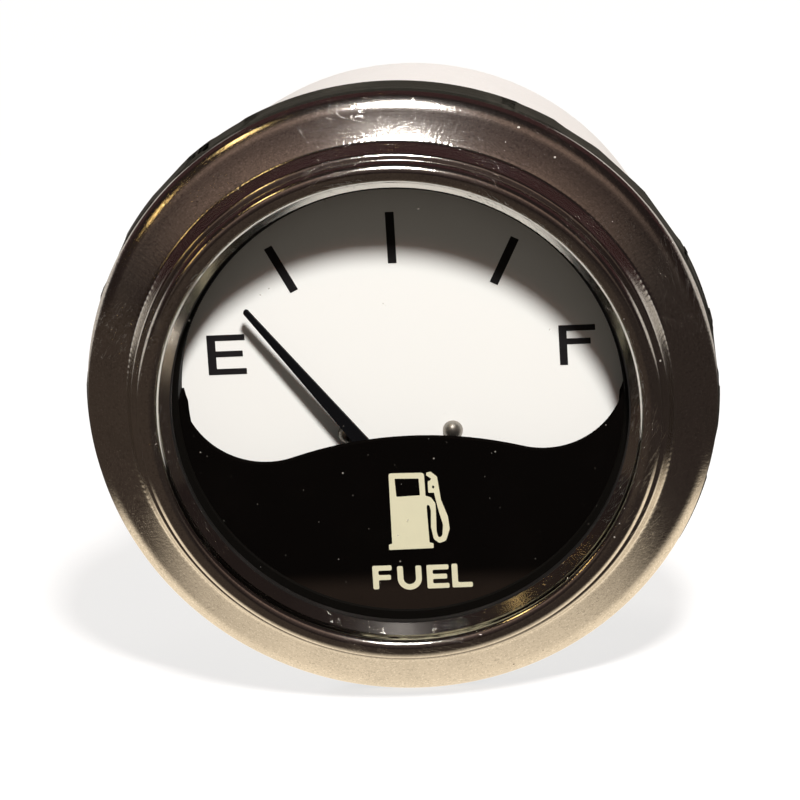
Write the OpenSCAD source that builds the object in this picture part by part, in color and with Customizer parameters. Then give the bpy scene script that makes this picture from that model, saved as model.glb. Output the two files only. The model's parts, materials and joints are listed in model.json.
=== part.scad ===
// Electric fuel gauge for a 52 mm hole in an instrument panel.
// The dial faces -Y and its 12 o'clock is +Z.
// The origin is on the barrel's axis, in the plane where the gasket meets the panel.
// Every piece is drawn face up: x to the right, y to 12 o'clock, z towards the viewer.

/* [Case] */
// Diameter of the barrel that passes through the panel
barrel_d = 52; // [50:0.5:54]
// Depth of the case behind the panel
case_depth = 26; // [25:0.5:34]
// Thickness of the drawn case
case_wall = 0.8; // [0.6:0.05:1]
// How far the collar in front of the panel stands out round the barrel
collar_step = 0.6; // [0.45:0.05:0.8]
// Height of the ledge inside the collar that carries the dial
ledge_h = 0.95; // [0.8:0.05:1.2]
// Outside radius of the corner at the back of the case
case_corner_r = 1.5; // [1.2:0.1:2.5]

/* [Bezel] */
// How far the bezel reaches out beyond the barrel
bezel_margin = 5; // [4.5:0.1:6]
// Thickness of the bezel's spun sheet
bezel_sheet = 0.5; // [0.4:0.05:0.6]
// Width of the crimped edge behind the case's flange
crimp_w = 2.4; // [1.6:0.1:2.8]
// Height of the upright edge under the outer band
band_foot = 1.1; // [0.8:0.05:1.2]
// How far the inside of the outer band lies beyond the case's collar
crease_gap = 0.15; // [0.1:0.05:0.4]
// Height of the crease at the inside of the band, above the panel gasket
band_h = 4.65; // [4.3:0.05:5.2]
// Radius of the rounded shoulder at the outside of the band
shoulder_r = 2; // [1.8:0.05:2.2]
// Radius of the slightly curved crown between the shoulder and the crease
crown_r = 25; // [20:1:40]
// Radius of the groove along the crease
crease_r = 0.15; // [0.1:0.01:0.2]
// Radial width of the step wall between the crease and the bead
step_w = 0.85; // [0.6:0.05:1.1]
// Height of the step wall
step_h = 1.65; // [1.3:0.05:2]
// Radius of the raised bead
bead_r = 1.1; // [0.9:0.05:1.3]
// Radius of the rolled lip round the glass
lip_r = 0.62; // [0.5:0.02:0.8]

/* [Glass and seals] */
// Thickness of the panel gasket
gasket_t = 2.5; // [1.5:0.1:3.5]
// How far the panel gasket stands out beyond the bezel
gasket_proud = 0.2; // [0:0.05:0.5]
// Thickness of the glass
lens_t = 1.2; // [1:0.05:1.5]
// Thickness of the seal in front of the glass
lens_seal_t = 0.6; // [0.4:0.05:0.8]
// Height of the spacer ring between the dial and the glass
spacer_h = 3.85; // [3.6:0.05:4.2]

/* [Dial] */
// Thickness of the dial plate
dial_t = 0.5; // [0.4:0.05:0.8]
// Distance of the pointer's pivot above the lamp
pivot_rise = 8.9; // [8.6:0.1:9.4]
// Sideways place of the middle between the dial rivets
rivet_shift = -0.5; // [-0.6:0.1:0]
// Half the distance between the two dial rivets
rivet_x = 5.2; // [4.8:0.1:5.5]
// Height of the dial rivets above the pivot
rivet_rise = 5.85; // [5.2:0.05:6.4]
// Diameter of a dial rivet's head
rivet_head_d = 2; // [1.8:0.05:2.4]
// Height of a dial rivet's domed head
rivet_head_h = 0.85; // [0.5:0.05:0.9]
// Length of the light window under the mask
window_len = 12; // [9:0.5:14]
// Height of the light window
window_h = 5; // [4:0.25:6]

/* [Mask] */
// Height of the mask's front over the dial
mask_rise = 3.65; // [3.4:0.05:3.7]
// Thickness of the mask's plate
mask_t = 0.8; // [0.5:0.05:1]
// Width of the rim that the mask stands on
mask_rim_w = 1; // [0.8:0.1:1.5]
// Radius of the broad hump in the middle of the mask's edge
hump_r = 40; // [36:1:50]
// Distance of the hump's top below the middle of the dial
hump_drop = 3.85; // [3.4:0.05:4.4]
// Sideways place of the hump
hump_x = 0.9; // [0:0.1:1.2]
// Radius of the dips beside the hump
dip_r = 8.2; // [7.6:0.1:8.6]
// Distance of the left dip from the middle
dip_left = 13.5; // [13:0.1:14]
// Distance of the right dip from the middle
dip_right = 13.9; // [13:0.1:14.2]
// Height of the mask's two horns above the middle of the dial
horn_rise = 1; // [0:0.1:2]

/* [Pointer] */
// Gap between the pointer's tip and the ring round the dial at the ends of its swing
tip_gap = 1.84; // [1.5:0.02:3.5]
// Width of the pointer at its tip
pointer_tip_w = 0.54; // [0.4:0.02:0.8]
// Width of the pointer at its pivot
pointer_root_w = 1.7; // [1.2:0.05:2]
// Thickness of the pointer
pointer_t = 0.4; // [0.3:0.05:0.6]
// Height of the pointer's back over the dial
pointer_rise = 1.55; // [1.4:0.05:1.8]
// Angle of the pointer at rest, left of upright
rest_angle = 37.2; // [0:0.1:50]
// Largest swing of the pointer to each side of upright
swing = 55; // [50:0.5:60]
// Diameter of the pointer's hub
hub_d = 4.4; // [3.8:0.1:5]

/* [Movement] */
// Diameter of the spindle
spindle_d = 1.2; // [0.8:0.05:1.6]
// Height of the dial posts between the bridge and the dial
post_h = 1.95; // [1.6:0.05:2.2]
// Diameter of the dial posts
post_d = 2.6; // [2.2:0.1:3]
// Thickness of the bearing bridge
bridge_t = 1.2; // [1:0.05:1.5]
// Length of the pillars between the bridge and the frame plate
pillar_h = 17.3; // [16.8:0.1:17.5]
// Diameter of the pillars
pillar_d = 3; // [2.8:0.1:3.6]
// Distance of the upper pillar below the terminals
pillar_drop = 8.3; // [7.8:0.1:8.6]
// Half the distance between the lower pillars
pillar_side = 9; // [8.5:0.1:9.5]
// Distance of the lower pillars below the pivot
pillar_low = 5; // [4.5:0.1:6]
// Thickness of the frame plate
frame_t = 1.5; // [1.2:0.1:1.8]
// Radius of the armature
armature_r = 4.1; // [3.8:0.05:4.3]
// Width of the armature's bar
armature_w = 4; // [3:0.1:5]
// Length of the armature along the spindle
armature_len = 8; // [6:0.25:9]
// Air gap between the armature and the pole shoes
air_gap = 0.5; // [0.3:0.05:0.6]
// Length of the balance arms that carry weights
balance_len = 3.2; // [2.8:0.05:3.4]
// Length of the stop arm
stop_len = 6.3; // [6:0.05:6.6]

/* [Coils] */
// Angle between each coil's axis and upright
coil_angle = 50; // [48:0.5:54]
// Distance from the pivot to a coil's bobbin
coil_start = 7.4; // [7.2:0.1:8]
// Length of a bobbin
bobbin_len = 12; // [10:0.25:13]
// Diameter of a bobbin's flanges
bobbin_d = 13; // [11:0.25:13.5]
// Thickness of a bobbin's flanges and tube
bobbin_wall = 0.6; // [0.5:0.05:0.8]
// Diameter of the lead wires from the coils to the terminals
lead_d = 0.6; // [0.5:0.05:0.8]
// Diameter of the iron core
core_d = 4.8; // [4:0.1:5.2]
// How far the winding lies inside the bobbin's flanges
winding_inset = 0.5; // [0.3:0.05:1]
// Thickness of a pole shoe
shoe_t = 1.8; // [1.4:0.05:2]
// Half the angle that a pole shoe covers
shoe_span = 30; // [22:1:34]
// Thickness of a yoke
yoke_t = 1.8; // [1.4:0.1:2.2]
// Width of a yoke
yoke_w = 7; // [6:0.25:8]

/* [Lamp] */
// Gap between the lamp tube's flange and the wall of the case
lamp_gap = 0.74; // [0.7:0.02:0.9]
// Bore of the lamp tube
lamp_bore = 8.52; // [8.2:0.02:8.8]
// Wall of the lamp tube
lamp_tube_wall = 0.5; // [0.4:0.05:0.6]
// Length of the lamp tube inside the case
lamp_tube_len = 9.4; // [8:0.1:9.8]
// Wall of the lamp holder's sleeve
holder_wall = 0.6; // [0.5:0.05:0.7]
// Length of the lamp holder's grip behind the case
grip_len = 4; // [3:0.25:6]
// Length of the bulb's metal cap
cap_len = 10; // [9:0.25:11]
// Length of the bulb's glass
glass_len = 10; // [8:0.25:11]
// Length of the lamp's spade tab
tab_len = 6; // [5:0.25:8]
// Width of the lamp's spade tab
tab_w = 4.8; // [4:0.1:6.3]
// Thickness of the lamp's spade tab
tab_t = 0.8; // [0.5:0.05:0.8]

/* [Terminals] */
// Distance from one terminal to the next
terminal_pitch = 11; // [10:0.25:11.5]
// Height of the terminals above the middle
terminal_rise = 12; // [11.5:0.1:12.5]
// Diameter of the terminal studs
terminal_d = 4; // [3.5:0.1:4.5]
// Length of a terminal stud behind the case
terminal_len = 12; // [11:0.5:16]
// Thickness of the insulating plates
insulator_t = 1.6; // [1.2:0.1:2]
// Thickness of a terminal washer
washer_t = 0.8; // [0.6:0.1:1.2]
// Thickness of a terminal nut
nut_h = 3.2; // [2.4:0.1:4]
// Width of a terminal nut across its flats
nut_flats = 7; // [6.5:0.1:8]

/* [Clamp studs] */
// Distance between the two clamp studs
clamp_pitch = 35; // [33:0.5:36]
// Distance of the clamp studs below the middle
clamp_drop = 6; // [5:0.5:8]
// Diameter of the clamp studs
clamp_d = 4; // [3:0.1:4.5]
// Length of a clamp stud behind the case
clamp_len = 14; // [10:0.5:20]

/* [Hidden] */
$fn = 96;

// Clearances: a piece that slips in, a piece that is pressed in, and a piece that turns or slides
slip = 0.1;
press = 0.02;
running = 0.05;
// How far a cutting shape reaches past the piece that it cuts
past = 1;

barrel_r = barrel_d / 2;
case_bore_r = barrel_r - case_wall;
collar_r = barrel_r + collar_step;
collar_bore_r = collar_r - case_wall;
case_back = -case_depth;
case_floor = case_back + case_wall;

bezel_r = barrel_r + bezel_margin;
crimp_front = gasket_t + bezel_sheet;
band_start = [bezel_r, gasket_t + band_foot];
crease = [collar_r + crease_gap, gasket_t + band_h];
// Centres of the shoulder and of the crown, which runs smoothly into it
shoulder_c = band_start - [shoulder_r, 0];
crown_c = far_centre(crease, crown_r, shoulder_c, crown_r - shoulder_r);
shoulder_angle = angle_of(shoulder_c - crown_c);
crease_angle = angle_of(crease - crown_c);
// The case's flange lies clear under the shoulder
flange_front = crimp_front + case_wall;
shoulder_bore_r = shoulder_r - bezel_sheet;
flange_r = shoulder_c.x + sqrt(pow(shoulder_bore_r, 2) - pow(flange_front - shoulder_c.y, 2)) - slip;
step_top = crease + [-step_w, step_h];
edge_round = 0.8 * bezel_sheet;
// Angles on the bead where it leaves the step wall and where it meets the lip
bead_step_angle = 16;
bead_lip_angle = 188;
bead_end_angle = 215;
bead_lap = 6;
bead_c = step_top - bead_r * on_circle(bead_step_angle);
lip_c = bead_c + (bead_r + lip_r) * on_circle(bead_lip_angle);
view_r = lip_c.x - lip_r;

dial_front = ledge_h + dial_t;
dial_r = collar_bore_r - slip;
lens_back = dial_front + spacer_h;
lens_front = lens_back + lens_t;
stack_top = lens_front + lens_seal_t;
// Room between the crease and the edge of the glass
lens_room = 1.05;
lens_r = crease.x - lens_room;
spacer_bore_r = view_r - slip;
mask_r = spacer_bore_r - slip;
mask_front = dial_front + mask_rise;
mask_back = mask_front - mask_t;

lamp_bore_r = lamp_bore / 2;
lamp_tube_r = lamp_bore_r + lamp_tube_wall;
lamp_flange_r = lamp_tube_r + lamp_tube_wall;
lamp_drop = case_bore_r - lamp_flange_r - lamp_gap;
lamp_at = [0, -lamp_drop];

pivot_drop = lamp_drop - pivot_rise;
pivot = [0, -pivot_drop];
// The pointer's tip stays clear of the ring at both ends of its swing
tip_reach = spacer_bore_r - tip_gap;
pointer_len = pivot_drop * cos(swing) + sqrt(pow(tip_reach, 2) - pow(pivot_drop * sin(swing), 2));
rivet_at = [for (side = [-1, 1]) pivot + [rivet_shift + side * rivet_x, rivet_rise]];
rivet_shank_d = rivet_head_d * 0.6;
pointer_back = dial_front + pointer_rise;
pointer_front = pointer_back + pointer_t;
// Bosses and rims of the hub, beyond the pointer's two faces
hub_below = 0.6;
hub_above = 0.5;
hub_boss_d = 0.55 * hub_d;
hub_back = pointer_back - hub_below;
hub_front = pointer_front + hub_above;

spindle_r = spindle_d / 2;
bearing_bore_r = spindle_r + running;
bridge_front = ledge_h - post_h;
bridge_back = bridge_front - bridge_t;
frame_front = bridge_back - pillar_h;
frame_back = frame_front - frame_t;
coil_z = (bridge_back + frame_front) / 2;
bush_r = 3 * spindle_r;
bush_proud = 0.4;
bridge_arm_w = 5;
frame_arm_w = 8;
frame_leg_w = 5;
// Width of the eye at an arm's end, as a share of the arm's width
eye_share = 1.12;
pillar_at = [
  [0, terminal_rise - pillar_drop],
  pivot + [pillar_side, -pillar_low],
  pivot + [-pillar_side, -pillar_low]
];
// Screws of the movement: M2.5 with slotted pan heads
screw_d = 2.4;
screw_head_d = 5;
screw_head_h = 1.6;
slot_w = 0.7;
bridge_screw_head_d = 3.8;
bridge_screw_head_h = 0.9;
bridge_screw_len = 4;
// The rear bearing is a screw with a cup for the spindle's foot
cup_depth = 1.1;
rear_bearing_r = 1.7;
rear_bearing_proud = 1;
frame_hub_r = 2 * rear_bearing_r;

balance_t = 0.8;
balance_w = 1;
balance_gap = 1.4;
balance_front = bridge_back - balance_gap;
weight_r = 1;
weight_t = 1.8;
stop_pin_r = 0.5;
stop_pin_at = stop_len - 1.1;
// The stop arm's edge meets a pin when the pointer has swung as far as it may
stop_pin_angle = swing + asin((balance_w / 2 + stop_pin_r + running) / stop_pin_at);
spindle_collar_r = 1.8 * spindle_r;
spindle_collar_t = 0.4;

coil_end = coil_start + bobbin_len;
lead_r = lead_d / 2;
// How far a lead wire rises from the winding, and from a stud's head to its last bend
lead_lift = 1;
lead_bend = 3.2;
core_r = core_d / 2;
core_bore_r = core_r + slip;
tube_r = core_bore_r + bobbin_wall;
shoe_bore_r = armature_r + air_gap;
// How far the core stands out of its bobbin
core_proud = 1;
core_len = coil_end + core_proud;
core_spigot_r = core_r / 2;
yoke_foot = 4;
frame_screw_inset = 2.4;
frame_screw_reach = coil_end - frame_screw_inset;
frame_screw_at = [
  pivot + frame_screw_reach * along_axis(-1),
  pivot + frame_screw_reach * along_axis(1),
  pillar_at[0]
];
spacer_d = 4.6;

terminal_at = [for (place = [-1, 0, 1]) [place * terminal_pitch, terminal_rise]];
terminal_r = terminal_d / 2;
terminal_head_r = 1.7 * terminal_r;
terminal_head_h = 1.3;
insulator_boss_r = terminal_r + 0.6;
insulator_w = 10;
insulator_len = 2 * terminal_pitch + insulator_w;
outer_plate_back = case_back - insulator_t;
washer_back = outer_plate_back - washer_t;
washer_r = 2.2 * terminal_r;

clamp_at = [for (side = [-1, 1]) [side * clamp_pitch / 2, -clamp_drop]];
clamp_r = clamp_d / 2;
clamp_head_r = 1.6 * clamp_r;
clamp_head_h = 1.3;
// The stud's neck fills its hole in the case
clamp_neck_r = clamp_r + 0.3;

lamp_tube_proud = 0.4;
lamp_tube_back = case_back - lamp_tube_proud;
lamp_tube_front = case_floor + lamp_tube_len;
lamp_flange_t = 0.5;
sleeve_r = lamp_bore_r - running;
sleeve_bore_r = sleeve_r - holder_wall;
holder_flange_w = 1.2;
holder_flange_r = sleeve_r + holder_flange_w;
holder_flange_t = 0.6;
holder_seat = lamp_tube_back - running;
grip_r = sleeve_r - 0.3;
grip_end_wall = 1;
grip_back = holder_seat - holder_flange_t - grip_len;
// How far the sleeve stands out of its tube, and its spring slots
sleeve_proud = 1;
sleeve_slot_len = 5;
sleeve_slot_w = 1;
sleeve_front = lamp_tube_front + sleeve_proud;
// Insulating plug and contact under the foot of the bulb
plug_len = 2.5;
plug_neck_r = 1.2;
plug_flange_r = 2.4;
plug_flange_t = 0.4;
contact_r = 0.8;
contact_head_r = 1.8;
contact_head_h = 0.5;
contact_front = grip_back + plug_len + contact_head_h;
cap_back = contact_front + running;
cap_front = cap_back + cap_len;
cap_r = sleeve_bore_r - running;
glass_r = cap_r - 0.35;
glass_front = cap_front + glass_len;

// Point at an angle on a circle of radius 1
function on_circle(angle) = [cos(angle), sin(angle)];
// Direction of the left (-1) or right (1) coil's axis
function along_axis(side) = [side * sin(coil_angle), cos(coil_angle)];
// Angle of a direction
function angle_of(way) = atan2(way.y, way.x);
// Point at distance r from p and s from q, on the right-hand side from p to q
function far_centre(p, r, q, s) =
  let (
    apart = norm(q - p),
    ahead = (q - p) / apart,
    aside = [ahead.y, -ahead.x],
    reach = (r * r - s * s + apart * apart) / (2 * apart)
  )
  p + ahead * reach + aside * sqrt(r * r - reach * reach);

// Turns a piece that is drawn face up so that it faces -Y
module facing() rotate([90, 0, 0]) children();
// Puts a copy of the children at each of the points
module at_each(points) for (p = points) translate(p) children();
// A round bar or disc from one height to another
module disc(r, from, to) translate([0, 0, from]) cylinder(r = r, h = to - from);
// A flat plate of the children's outline from one height to another
module plate(from, to) translate([0, 0, from]) linear_extrude(to - from) children();
// A ring that is turned about z, of the children's profile in radius and height
module turned() rotate_extrude() children();
// Cross-section of a ring
module ring_profile(r_in, r_out, from, to) translate([r_in, from]) square([r_out - r_in, to - from]);
// Outline of a ring with an outside radius and a width
module ring_outline(r, w) difference() {
  circle(r);
  circle(r - w);
}
// A ring of sheet round a centre, seen in cross-section
module roll(centre, r, sheet) translate(centre) ring_outline(r, sheet);
// The part of such a ring between two directions from its centre
module rolled(centre, r, sheet, from, to) intersection() {
  roll(centre, r, sheet);
  polygon([centre, centre + 2 * r * on_circle(from), centre + 2 * r * on_circle(to)]);
}
// A flat arm from p with a wider round eye at q
module arm(p, q, w) {
  run = q - p;
  translate(p) rotate(atan2(run.y, run.x)) translate([0, -w / 2]) square([norm(run), w]);
  translate(q) circle(d = eye_share * w);
}
// A flat bar with round ends
module bar(p, q, w) {
  run = q - p;
  translate(p) rotate(atan2(run.y, run.x)) translate([0, -w / 2]) square([norm(run), w]);
  for (place = [p, q]) translate(place) circle(d = w);
}
// Stands the children on a coil's axis: their z runs from the pivot along the axis
module on_coil(side) {
  translate([pivot.x, pivot.y, coil_z]) rotate([0, 0, -side * coil_angle])
    rotate([-90, 0, 0]) children();
}
// A slot across a screw head whose top is at z = 0
module screw_slot(head_d) {
  translate([-head_d, -slot_w / 2, -slot_w]) cube([2 * head_d, slot_w, slot_w + past]);
}

// Spun cover: crimped edge, upright foot, shoulder, crown, step wall, bead and rolled lip
module bezel_profile() {
  inward = bezel_sheet * [-step_h, -step_w] / norm([step_h, step_w]);
  difference() {
    union() {
      crimp_profile();
      rolled(shoulder_c, shoulder_r, bezel_sheet, 0, shoulder_angle);
      rolled(crown_c, crown_r, bezel_sheet, shoulder_angle, crease_angle);
      polygon([
        crease,
        step_top,
        bead_c + bead_r * on_circle(bead_step_angle + bead_lap),
        bead_c + (bead_r - bezel_sheet) * on_circle(bead_step_angle + bead_lap),
        crease + inward,
        crown_c + (crown_r - bezel_sheet) * on_circle(crease_angle)
      ]);
      bead_profile();
      translate(lip_c) circle(lip_r);
      polygon([
        lip_c,
        lip_c - [0, lip_r],
        bead_c + bead_r * on_circle(bead_end_angle),
        bead_c + bead_r * on_circle(bead_lip_angle)
      ]);
      ring_profile(view_r, view_r + bezel_sheet, stack_top, lip_c.y);
    }
    translate(crease) circle(crease_r);
  }
}
module crimp_profile() {
  difference() {
    ring_profile(bezel_r - crimp_w, bezel_r, gasket_t, band_start.y);
    ring_profile(0, bezel_r - bezel_sheet, crimp_front, band_start.y + past);
    translate([bezel_r - edge_round, gasket_t - past]) difference() {
      square([edge_round + past, edge_round + past]);
      translate([0, edge_round + past]) circle(edge_round);
    }
  }
}
module bead_profile() {
  reach = 3 * bead_r;
  difference() {
    roll(bead_c, bead_r, bezel_sheet);
    polygon([
      bead_c,
      bead_c + reach * on_circle(bead_end_angle),
      bead_c + 2 * reach * on_circle(-90),
      bead_c + reach * on_circle(bead_step_angle)
    ]);
  }
}
module bezel() color("Sienna") facing() turned() bezel_profile();

// Black seal that the bezel presses on the glass
module lens_seal() {
  color("Black") facing() turned() ring_profile(view_r - 1.5 * slip, lens_r, lens_front, stack_top);
}

// Flat glass with ground edges
module lens() {
  ground = 0.2;
  color("LightCyan", 0.4) facing() turned()
    polygon([
      [0, lens_back],
      [lens_r - ground, lens_back],
      [lens_r, lens_back + ground],
      [lens_r, lens_front - ground],
      [lens_r - ground, lens_front],
      [0, lens_front]
    ]);
}

// Black ring that holds the glass off the dial
module spacer_ring() {
  color("Black") facing() turned() ring_profile(spacer_bore_r, dial_r, dial_front, lens_back);
}

// Outline of the mask: a broad hump that runs smoothly into two dips, with a horn at each side
module mask_outline() {
  hump_c = [hump_x, -hump_drop - hump_r];
  dips = [for (x = [-dip_left, dip_right])
    [x, hump_c.y + sqrt(pow(hump_r + dip_r, 2) - pow(x - hump_x, 2))]];
  meets = [for (c = dips) hump_c + hump_r * (c - hump_c) / norm(c - hump_c)];
  intersection() {
    circle(mask_r);
    difference() {
      union() {
        translate(hump_c) circle(hump_r);
        mask_block(dips[0].x - past, meets[0].x + past, meets[0].y + running);
        mask_block(meets[1].x - past, dips[1].x + past, meets[1].y + running);
        mask_block(-mask_r, dips[0].x, horn_rise);
        mask_block(dips[1].x, mask_r, horn_rise);
      }
      for (c = dips) translate(c) circle(dip_r);
    }
  }
}
// The part of the mask between two places across it, up to a height
module mask_block(from, to, top) {
  translate([from, -mask_r]) square([to - from, mask_r + top]);
}
// Raised black mask over the lower half of the dial, which shades the lamp
module dial_mask() {
  color("DimGray") facing() {
    plate(mask_back, mask_front) mask_outline();
    plate(dial_front, mask_back) intersection() {
      mask_outline();
      ring_outline(mask_r, mask_rim_w);
    }
  }
}

// Domed rivets that hold the dial to its posts
module dial_rivets() {
  dome_r = (pow(rivet_head_d / 2, 2) + pow(rivet_head_h, 2)) / (2 * rivet_head_h);
  color("WhiteSmoke") facing() at_each(rivet_at) {
    translate([0, 0, dial_front]) turned() intersection() {
      translate([0, rivet_head_h - dome_r]) circle(dome_r);
      square([dome_r, rivet_head_h]);
    }
    disc(rivet_shank_d / 2, bridge_front + slip, dial_front);
  }
}

// Printed dial with holes for the hub, the rivets and the lamp's light
module dial_plate() {
  color("White") facing() plate(ledge_h, dial_front) difference() {
    circle(dial_r);
    translate(pivot) circle(hub_boss_d / 2 + 6 * slip);
    at_each(rivet_at) circle(rivet_shank_d / 2 + press);
    window_half = (window_len - window_h) / 2;
    bar([-window_half, -lamp_drop + slip], [window_half, -lamp_drop + slip], window_h);
  }
}

// Rubber ring between the bezel and the panel
module panel_gasket() {
  color("DarkSlateGray") facing() turned()
    ring_profile(collar_r + press, bezel_r + gasket_proud, 0, gasket_t);
}

// Drawn case: flange, collar, dial ledge, barrel and back
module case_profile() {
  corner = [barrel_r - case_corner_r, case_back + case_corner_r];
  ring_profile(collar_bore_r, flange_r, crimp_front, flange_front);
  ring_profile(collar_bore_r, collar_r, 0, flange_front);
  ring_profile(case_bore_r, collar_r, 0, ledge_h);
  ring_profile(case_bore_r, barrel_r, corner.y, ledge_h);
  intersection() {
    roll(corner, case_corner_r, case_wall);
    translate(corner - [0, case_corner_r]) square(case_corner_r);
  }
  ring_profile(0, corner.x, case_back, case_floor);
}
module case_cup() {
  color("DarkGray") facing() difference() {
    turned() case_profile();
    at_each(frame_screw_at) disc(screw_d / 2 + slip, case_back - past, case_floor + past);
    at_each(terminal_at) disc(insulator_boss_r + slip, case_back - past, case_floor + past);
    at_each(clamp_at) disc(clamp_neck_r + press, case_back - past, case_floor + past);
    translate(lamp_at) disc(lamp_tube_r + press, case_back - past, case_floor + past);
  }
}

// Tapered pointer with a ring that the hub holds
module pointer() {
  color("Black") facing() translate(pivot) rotate(rest_angle)
    plate(pointer_back, pointer_front) difference() {
      union() {
        polygon([
          [-pointer_root_w / 2, 0],
          [pointer_root_w / 2, 0],
          [pointer_tip_w / 2, pointer_len - pointer_tip_w / 2],
          [-pointer_tip_w / 2, pointer_len - pointer_tip_w / 2]
        ]);
        translate([0, pointer_len - pointer_tip_w / 2]) circle(pointer_tip_w / 2);
        circle(hub_d / 2 - slip);
      }
      circle(hub_boss_d / 2 + press);
    }
}

// Turned hub that grips the pointer on the spindle
module pointer_hub() {
  color("Black") facing() translate(pivot) difference() {
    union() {
      disc(hub_d / 2, hub_back, pointer_back);
      disc(hub_boss_d / 2, pointer_back, pointer_front);
      disc(0.4 * hub_d, pointer_front, hub_front);
    }
    disc(spindle_r + press, hub_back - past, hub_front - hub_above / 2);
  }
}

// Spindle with a collar behind the front bearing and a cone at its foot
module spindle() {
  foot = frame_front - cup_depth + running;
  collar_front = bridge_back - bush_proud - running;
  color("Silver") facing() translate(pivot) {
    disc(spindle_r, foot + spindle_r, hub_front - hub_above / 2);
    translate([0, 0, foot]) cylinder(r1 = spindle_r / 3, r2 = spindle_r, h = spindle_r);
    disc(spindle_collar_r, collar_front - spindle_collar_t, collar_front);
  }
}

// Soft iron bar with ends curved to the pole shoes
module armature() {
  color("SlateGray") facing() translate(pivot) rotate(rest_angle)
    plate(coil_z - armature_len / 2, coil_z + armature_len / 2) difference() {
      intersection() {
        circle(armature_r);
        square([2 * armature_r, armature_w], center = true);
      }
      circle(spindle_r + press);
    }
}

// Cross of thin arms: one meets the stop pins, three carry balance weights
module balance_arm() {
  balance_back = balance_front - balance_t;
  middle = (balance_front + balance_back) / 2;
  color("Goldenrod") facing() translate(pivot) rotate(rest_angle) difference() {
    union() {
      plate(balance_back, balance_front) {
        bar([-balance_len, 0], [balance_len, 0], balance_w);
        bar([0, 0], [0, -stop_len + balance_w / 2], balance_w);
        circle(2 * spindle_r);
      }
      for (place = [[-balance_len, 0], [balance_len, 0], [0, -balance_len]])
        translate(place) disc(weight_r, middle - weight_t / 2, middle + weight_t / 2);
    }
    disc(spindle_r + press, balance_back - past, balance_front + past);
  }
}

// Plate that carries the front bearing, the stop pins and the dial posts
module bearing_bridge() {
  color("Peru") facing() difference() {
    union() {
      plate(bridge_back, bridge_front) {
        for (p = pillar_at) arm(pivot, p, bridge_arm_w);
        bar(rivet_at[0], rivet_at[1], bridge_arm_w);
        translate(pivot) circle(stop_pin_at + 3 * stop_pin_r);
      }
      at_each(rivet_at) disc(post_d / 2, bridge_front, ledge_h);
    }
    translate(pivot) disc(bush_r + press, bridge_back - past, bridge_front + past);
    at_each(pillar_at) disc(screw_d / 2 + slip, bridge_back - past, bridge_front + past);
    at_each(rivet_at) disc(rivet_shank_d / 2 + press, bridge_front, ledge_h + past);
    stop_pin_places() disc(stop_pin_r + press, bridge_back - past, bridge_front + past);
  }
}
module stop_pin_places() {
  for (side = [-1, 1]) translate(pivot) rotate(180 + side * stop_pin_angle)
    translate([0, stop_pin_at]) children();
}

// Bush in the bridge that the front of the spindle turns in
module front_bearing() {
  color("Gold") facing() translate(pivot) difference() {
    union() {
      disc(bush_r, bridge_back - bush_proud, bridge_front);
      disc(bush_r + bush_proud, bridge_front, bridge_front + bush_proud);
    }
    disc(bearing_bore_r, bridge_back - bush_proud - past, bridge_front + bush_proud + past);
  }
}

// Screw in the frame plate with a cup that the foot of the spindle turns in
module rear_bearing() {
  head_back = frame_back - rear_bearing_proud;
  color("Gold") facing() translate(pivot) difference() {
    disc(rear_bearing_r, head_back, frame_front);
    disc(bearing_bore_r, frame_front - cup_depth, frame_front + past);
    translate([0, 0, head_back]) mirror([0, 0, 1]) screw_slot(2 * rear_bearing_r);
  }
}

// Three pillars that hold the bridge over the frame plate
module bridge_pillars() {
  color("Silver") facing() at_each(pillar_at) difference() {
    disc(pillar_d / 2, frame_front, bridge_back);
    disc(screw_d / 2 + press, bridge_back - bridge_screw_len, bridge_back + past);
    disc(screw_d / 2 + press, frame_front - past, frame_front + bridge_screw_len);
  }
}

// Slotted screws that hold the bridge to its pillars
module bridge_screws() {
  color("Silver") facing() at_each(pillar_at) {
    disc(screw_d / 2, bridge_back - bridge_screw_len + slip, bridge_front);
    slotted_head(bridge_screw_head_d, bridge_screw_head_h, bridge_front);
  }
}
// Screw head that stands on a plate, with its slot away from the plate
module slotted_head(d, h, seat) {
  translate([0, 0, seat]) difference() {
    cylinder(d1 = d, d2 = 0.85 * d, h = h);
    translate([0, 0, h]) screw_slot(d);
  }
}

// Two pins in the bridge that end the pointer's swing
module stop_pins() {
  color("Silver") facing() stop_pin_places()
    disc(stop_pin_r, balance_front - balance_t - 3 * slip, bridge_front);
}

// Frame plate that carries the yokes, the pillars and the rear bearing
module movement_frame() {
  color("Peru") facing() difference() {
    plate(frame_back, frame_front) {
      translate(pivot) circle(frame_hub_r);
      for (p = pillar_at) arm(pivot, p, frame_leg_w);
      for (side = [-1, 1]) arm(pivot, pivot + core_len * along_axis(side), frame_arm_w);
    }
    translate(pivot) disc(rear_bearing_r + press, frame_back - past, frame_front + past);
    at_each(frame_screw_at) disc(screw_d / 2 + press, frame_back - past, frame_front + past);
  }
}

// Tubes that hold the frame plate off the back of the case
module frame_spacers() {
  color("Silver") facing() at_each(frame_screw_at) difference() {
    disc(spacer_d / 2, case_floor, frame_back);
    disc(screw_d / 2 + slip, case_floor - past, frame_back + past);
  }
}

// Slotted screws through the back of the case that hold the movement
module frame_screws() {
  color("Silver") facing() at_each(frame_screw_at) {
    disc(screw_d / 2, case_back, frame_front - slip);
    translate([0, 0, case_back]) mirror([0, 0, 1]) slotted_head(screw_head_d, screw_head_h, 0);
  }
}

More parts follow.
